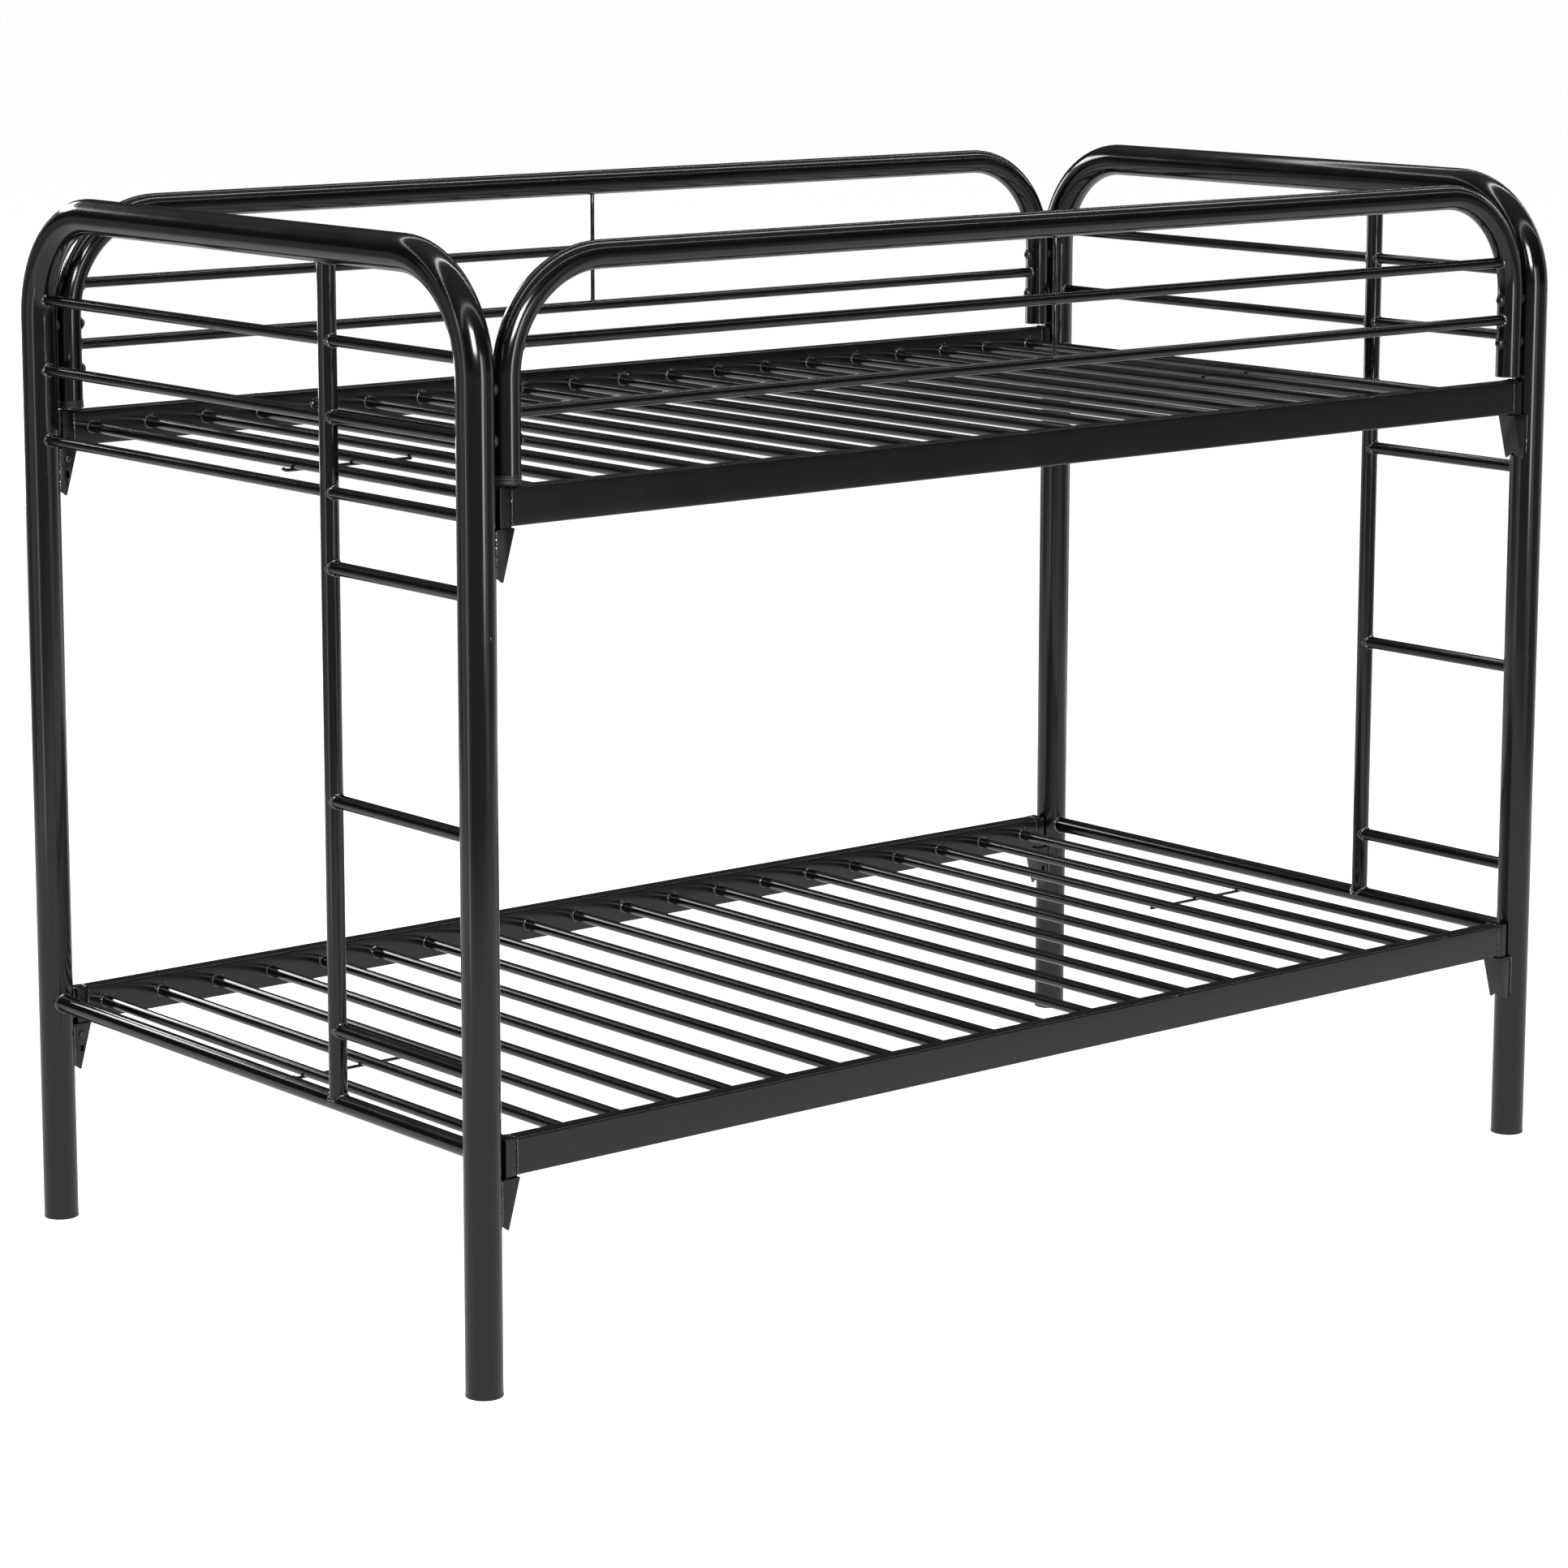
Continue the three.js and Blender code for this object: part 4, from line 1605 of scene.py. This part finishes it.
@dataclass
class GuardFixings:
    """Bolts, washers, spacers and leg plugs of both guards."""

    finishes: Finishes
    head_mm: float = 7.0
    head_height_mm: float = 4.6
    hex_mm: float = 2.9
    washer_mm: float = 9.2
    washer_thick_mm: float = 2.2
    spacer_mm: float = 9.0
    bore_mm: float = 4.3
    guard_mm: float = 38.1
    standoff_mm: float = 4.5
    plug_rim_mm: float = 5.0
    plain_rim_mm: float = 2.0
    rings_mm: tuple[tuple[float, ...], ...] = ((5.6, 3.4, 0.7), (9.6, 2.0, 0.4))

    def build(self) -> None:
        """Makes each small part once and copies it to its places."""
        shank = self.guard_mm + self.standoff_mm + 10
        self.bolt = round_screw(
            "bolt_master", self.head_mm, self.head_height_mm, self.hex_mm, shank
        )
        self.washer = ring_washer(
            "washer_master", self.washer_mm, self.bore_mm, self.washer_thick_mm
        )
        self.spacer = ring_washer(
            "spacer_master", self.spacer_mm, self.bore_mm, self.standoff_mm + 1.6
        )
        plugs = {
            End.LEFT: self._plug(self.plug_rim_mm),
            End.RIGHT: self._plug(self.plain_rim_mm),
        }
        for end, _, corner in corners():
            node = f"guard_leg_plug_{corner}"
            leg = centre_of(node)
            leg.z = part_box(node)[0].z
            plug = copy_of(plugs[end], f"leg_plug_{corner}", Matrix.Translation(leg))
            dress(plug, self.finishes.plastic, [node])
            for number in (1, 2):
                self._bolt(end, f"{corner}_{number}", leg)
        discard(self.bolt, self.washer, self.spacer, *plugs.values())

    def _bolt(self, end: End, label: str, leg: Vector) -> None:
        """Places one bolt, its washer and its spacer.

        Args:
            end: Which end of the bed.
            label: The corner's label, with 1 for the lower bolt or 2 for the upper.
            leg: The guard leg's axis.
        """
        node = f"guard_bolt_{label}"
        inwards = ALONG * -end.value
        axis = Vector((leg.x, leg.y, centre_of(node).z))
        face = axis + inwards * self.guard_mm / 2 * MM
        on_washer = face + inwards * self.washer_thick_mm * MM
        back = face - inwards * (self.guard_mm + self.standoff_mm + 0.8) * MM
        screw = copy_of(self.bolt, f"button_bolt_{label}", seat(on_washer, inwards, UP))
        dress(screw, self.finishes.screw, [node])
        disc = copy_of(self.washer, f"washer_{label}", seat(face, inwards, UP))
        dress(disc, self.finishes.screw)
        sleeve = copy_of(self.spacer, f"spacer_{label}", seat(back, inwards, UP))
        dress(sleeve, self.finishes.plastic)

    def _plug(self, rim_mm: float) -> bpy.types.Object:
        """Makes a leg plug: a rim and a shank inside the leg, and rings on a full rim.

        Args:
            rim_mm: Depth of the rim, from the leg's end downwards.

        Returns:
            The plug's master.
        """
        ringed = rim_mm == self.plug_rim_mm
        radius = self.guard_mm / 2 * MM
        low, high = (self.plug_rim_mm - rim_mm) * MM, self.plug_rim_mm * MM
        proud = 0.9 * MM if ringed else 0.0
        plug = add_disc("plug_master", radius + proud, low, high, 48)
        round_edges(plug, is_level, 0.18 * rim_mm * MM, 3)
        step_face(plug, UP, 1.6 * MM, UP * 10 * MM)
        step_face(plug, -UP, 3 * MM, UP * 0.3 * rim_mm * MM)
        close_piece(plug)
        if not ringed:
            return plug
        pieces = [plug]
        for low_mm, thick_mm, proud_mm in self.rings_mm:
            outer = radius + proud_mm * MM
            top = (low_mm + thick_mm) * MM
            ring = add_disc("plug_ring", outer, low_mm * MM, top, 48)
            round_edges(ring, is_level, 0.7 * MM, 3)
            pieces.append(close_piece(ring))
        return join_pieces("plug_master", pieces)


@dataclass
class FootGlides:
    """Four moulded glides pressed into the feet of the posts."""

    finishes: Finishes
    rim_mm: float = 3.0
    round_mm: float = 1.1
    wall_mm: float = 2.6
    shank_mm: float = 14.0
    dish_rim_mm: float = 8.0
    dish_mm: float = 0.9

    def build(self) -> None:
        """Makes one glide and copies it to the four feet."""
        radius = span_of("foot_glide_left_front").x / 2
        glide = add_disc("glide_master", radius, 0.0, self.rim_mm * MM, 56)
        round_edges(
            glide, lambda a, b: max(a.z, b.z) < MERGE_MM * MM, self.round_mm * MM, 4
        )
        step_face(glide, UP, self.wall_mm * MM, UP * self.shank_mm * MM)
        step_face(glide, -UP, self.dish_rim_mm * MM, UP * self.dish_mm * MM)
        close_piece(glide)
        for _, _, corner in corners():
            node = f"foot_glide_{corner}"
            foot = centre_of(node)
            foot.z = 0
            name = f"moulded_glide_{corner}"
            piece = copy_of(glide, name, Matrix.Translation(foot))
            dress(piece, self.finishes.plastic, [node])
        discard(glide)


# ---------------------------------------------------------------- studio


@dataclass(frozen=True)
class SoftBox:
    """One soft light: where it stands, what it looks at, its size and its power."""

    name: str
    place: tuple[float, float, float]
    target: tuple[float, float, float]
    width: float
    height: float
    watts: float

    def build(self, sign: int = 1) -> None:
        """Makes the light.

        Args:
            sign: -1 for its twin across the middle of the room.
        """
        data = bpy.data.lights.new(self.name, "AREA")
        data.shape = "RECTANGLE"
        data.size, data.size_y = self.width, self.height
        data.energy = self.watts
        light = bpy.data.objects.new(self.name, data)
        place, target = (
            Vector((sign * x, sign * y, z)) for x, y, z in (self.place, self.target)
        )
        light.location = place
        light.rotation_euler = (target - place).to_track_quat("-Z", "Y").to_euler()
        light.visible_camera = False
        bpy.context.scene.collection.objects.link(light)


SINGLE_BOXES = (
    SoftBox("key_box", (-2.6, -4.6, 3.4), (0, 0, 0.8), 1.6, 1.6, 300),
    SoftBox("rear_box", (-1.1, 5.0, 3.2), (-0.6, 0, 0.4), 2.8, 0.8, 88),
)
TWIN_BOXES = (
    SoftBox("long_strip", (0, 2.6, 4.3), (0, 2.0, 0), 15.0, 0.12, 50),
    SoftBox("cross_strip", (2.9, 0, 4.1), (2.3, 0, 0), 0.12, 15.0, 58),
    SoftBox("end_card", (3.5, -0.4, 1.2), (0, 0, 1.2), 2.8, 2.4, 9),
    SoftBox("end_tube", (3.4, 0.3, 1.2), (0, 0, 1.2), 0.2, 2.4, 4.5),
    SoftBox("side_card", (-0.9, 4.6, 1.2), (0, 0, 1.2), 1.6, 2.4, 8),
    SoftBox("side_box", (0.3, 4.6, 1.45), (0, 0, 1.45), 0.8, 1.9, 38),
)


@dataclass
class Studio:
    """Pale floor, pale surroundings, softboxes and the camera."""

    floor_m: float = 300.0
    camera_place: tuple[float, float, float] = (-4.46018, -5.27035, 2.00183)
    heading: float = 0.69678  # radians clockwise from +Y
    tilt: float = 0.17168  # radians below the horizon
    roll: float = 0.00169
    lens_mm: float = 106.12
    shift_y: float = -0.08
    low_glow: float = 0.05
    high_glow: float = 0.3
    glow_heights: tuple[float, float] = (0.35, 0.95)  # by the Z of a direction
    paper_m: float = 3.5
    paper_glow: float = 0.95
    far_glow: float = 0.28
    seen_floor: float = 0.86
    seen_world: float = 0.97

    def build(self) -> None:
        """Makes the studio."""
        self._camera()
        self._floor()
        self._world()
        for box in SINGLE_BOXES:
            box.build()
        for sign in (-1, 1):
            for box in TWIN_BOXES:
                box.build(sign)
        bpy.context.scene.view_settings.view_transform = "Standard"

    def _camera(self) -> None:
        """Makes the camera."""
        ahead = Vector((math.sin(self.heading), math.cos(self.heading), 0))
        level = Vector((math.cos(self.heading), -math.sin(self.heading), 0))
        forward = math.cos(self.tilt) * ahead - math.sin(self.tilt) * UP
        upward = math.sin(self.tilt) * ahead + math.cos(self.tilt) * UP
        right = math.cos(self.roll) * level + math.sin(self.roll) * upward
        top = -math.sin(self.roll) * level + math.cos(self.roll) * upward
        data = bpy.data.cameras.new("camera")
        data.sensor_width = 36.0
        data.lens = self.lens_mm
        data.shift_y = self.shift_y
        data.clip_end = 2 * self.floor_m
        camera = bpy.data.objects.new("camera", data)
        bpy.context.scene.collection.objects.link(camera)
        turn = Matrix((right, top, -forward)).transposed().to_4x4()
        camera.matrix_world = Matrix.Translation(self.camera_place) @ turn
        bpy.context.scene.camera = camera

    def _floor(self) -> None:
        """Makes the floor: paper that lights the bed from near by, pale where seen."""
        deselect_all()
        bpy.ops.mesh.primitive_plane_add(size=self.floor_m)
        floor = bpy.context.active_object
        floor.name = floor.data.name = "studio_floor"
        material = bpy.data.materials.new("white_studio_floor")
        shading = Shading(material)
        tree = shading.tree
        reach = add_node(
            tree,
            "ShaderNodeVectorMath",
            {"operation": "LENGTH"},
            {"Vector": shading.coordinates["Object"]},
        ).outputs["Value"]
        edge, glow = (self.paper_m, 1.4 * self.paper_m), (self.paper_glow, self.far_glow)
        white = {"Color": linear("#ffffff")}
        strength = {"Strength": shading.ramp(reach, edge, glow)}
        sheen = add_node(tree, "ShaderNodeEmission", white, strength)
        seen = add_node(
            tree,
            "ShaderNodeBsdfPrincipled",
            {
                "Base Color": linear("#d8d8d8"),
                "Roughness": 1.0,
                "Specular IOR Level": 0.0,
                "Emission Color": linear("#ffffff"),
                "Emission Strength": self.seen_floor,
            },
        )
        camera_ray = add_node(tree, "ShaderNodeLightPath").outputs["Is Camera Ray"]
        surface = add_node(tree, "ShaderNodeMixShader", None, {"Fac": camera_ray})
        tree.links.new(sheen.outputs["Emission"], surface.inputs[1])
        tree.links.new(seen.outputs["BSDF"], surface.inputs[2])
        links = {"Surface": surface.outputs["Shader"]}
        add_node(tree, "ShaderNodeOutputMaterial", None, links)
        material.cycles.emission_sampling = "NONE"
        floor.data.materials.append(material)

    def _world(self) -> None:
        """Makes the surroundings: dark low down and lighter overhead for the bed's
        reflections, and pale where they are seen."""
        world = bpy.data.worlds.new("studio_surroundings")
        bpy.context.scene.world = world
        shading = Shading(world)
        tree = shading.tree
        direction = {"Vector": shading.coordinates["Generated"]}
        height = add_node(tree, "ShaderNodeSeparateXYZ", None, direction).outputs["Z"]
        glow = shading.ramp(height, self.glow_heights, (self.low_glow, self.high_glow))
        camera_ray = add_node(tree, "ShaderNodeLightPath").outputs["Is Camera Ray"]
        mix = add_node(tree, "ShaderNodeMix", {"data_type": "FLOAT"})
        tree.links.new(camera_ray, mix.inputs[0])
        tree.links.new(glow, mix.inputs[2])
        mix.inputs[3].default_value = self.seen_world
        white = {"Color": linear("#ffffff")}
        sky = add_node(tree, "ShaderNodeBackground", white, {"Strength": mix.outputs[0]})
        links = {"Surface": sky.outputs["Background"]}
        add_node(tree, "ShaderNodeOutputWorld", None, links)


# ---------------------------------------------------------------- the bed


def main() -> None:
    """Builds the bed and the studio."""
    logging.basicConfig(level=logging.INFO, format="%(name)s %(message)s")
    finishes = Finishes.make()
    Studio().build()
    for end in End:
        EndFrame(end, finishes).build()
    for level, bottom in DECK_BOTTOMS_MM.items():
        DeckFrame(level, bottom, finishes).build()
    SocketSet(finishes).build()
    for side in Side:
        GuardRail(side, finishes).build()
    GuardFixings(finishes).build()
    FootGlides(finishes).build()


if __name__ == "__main__":
    main()
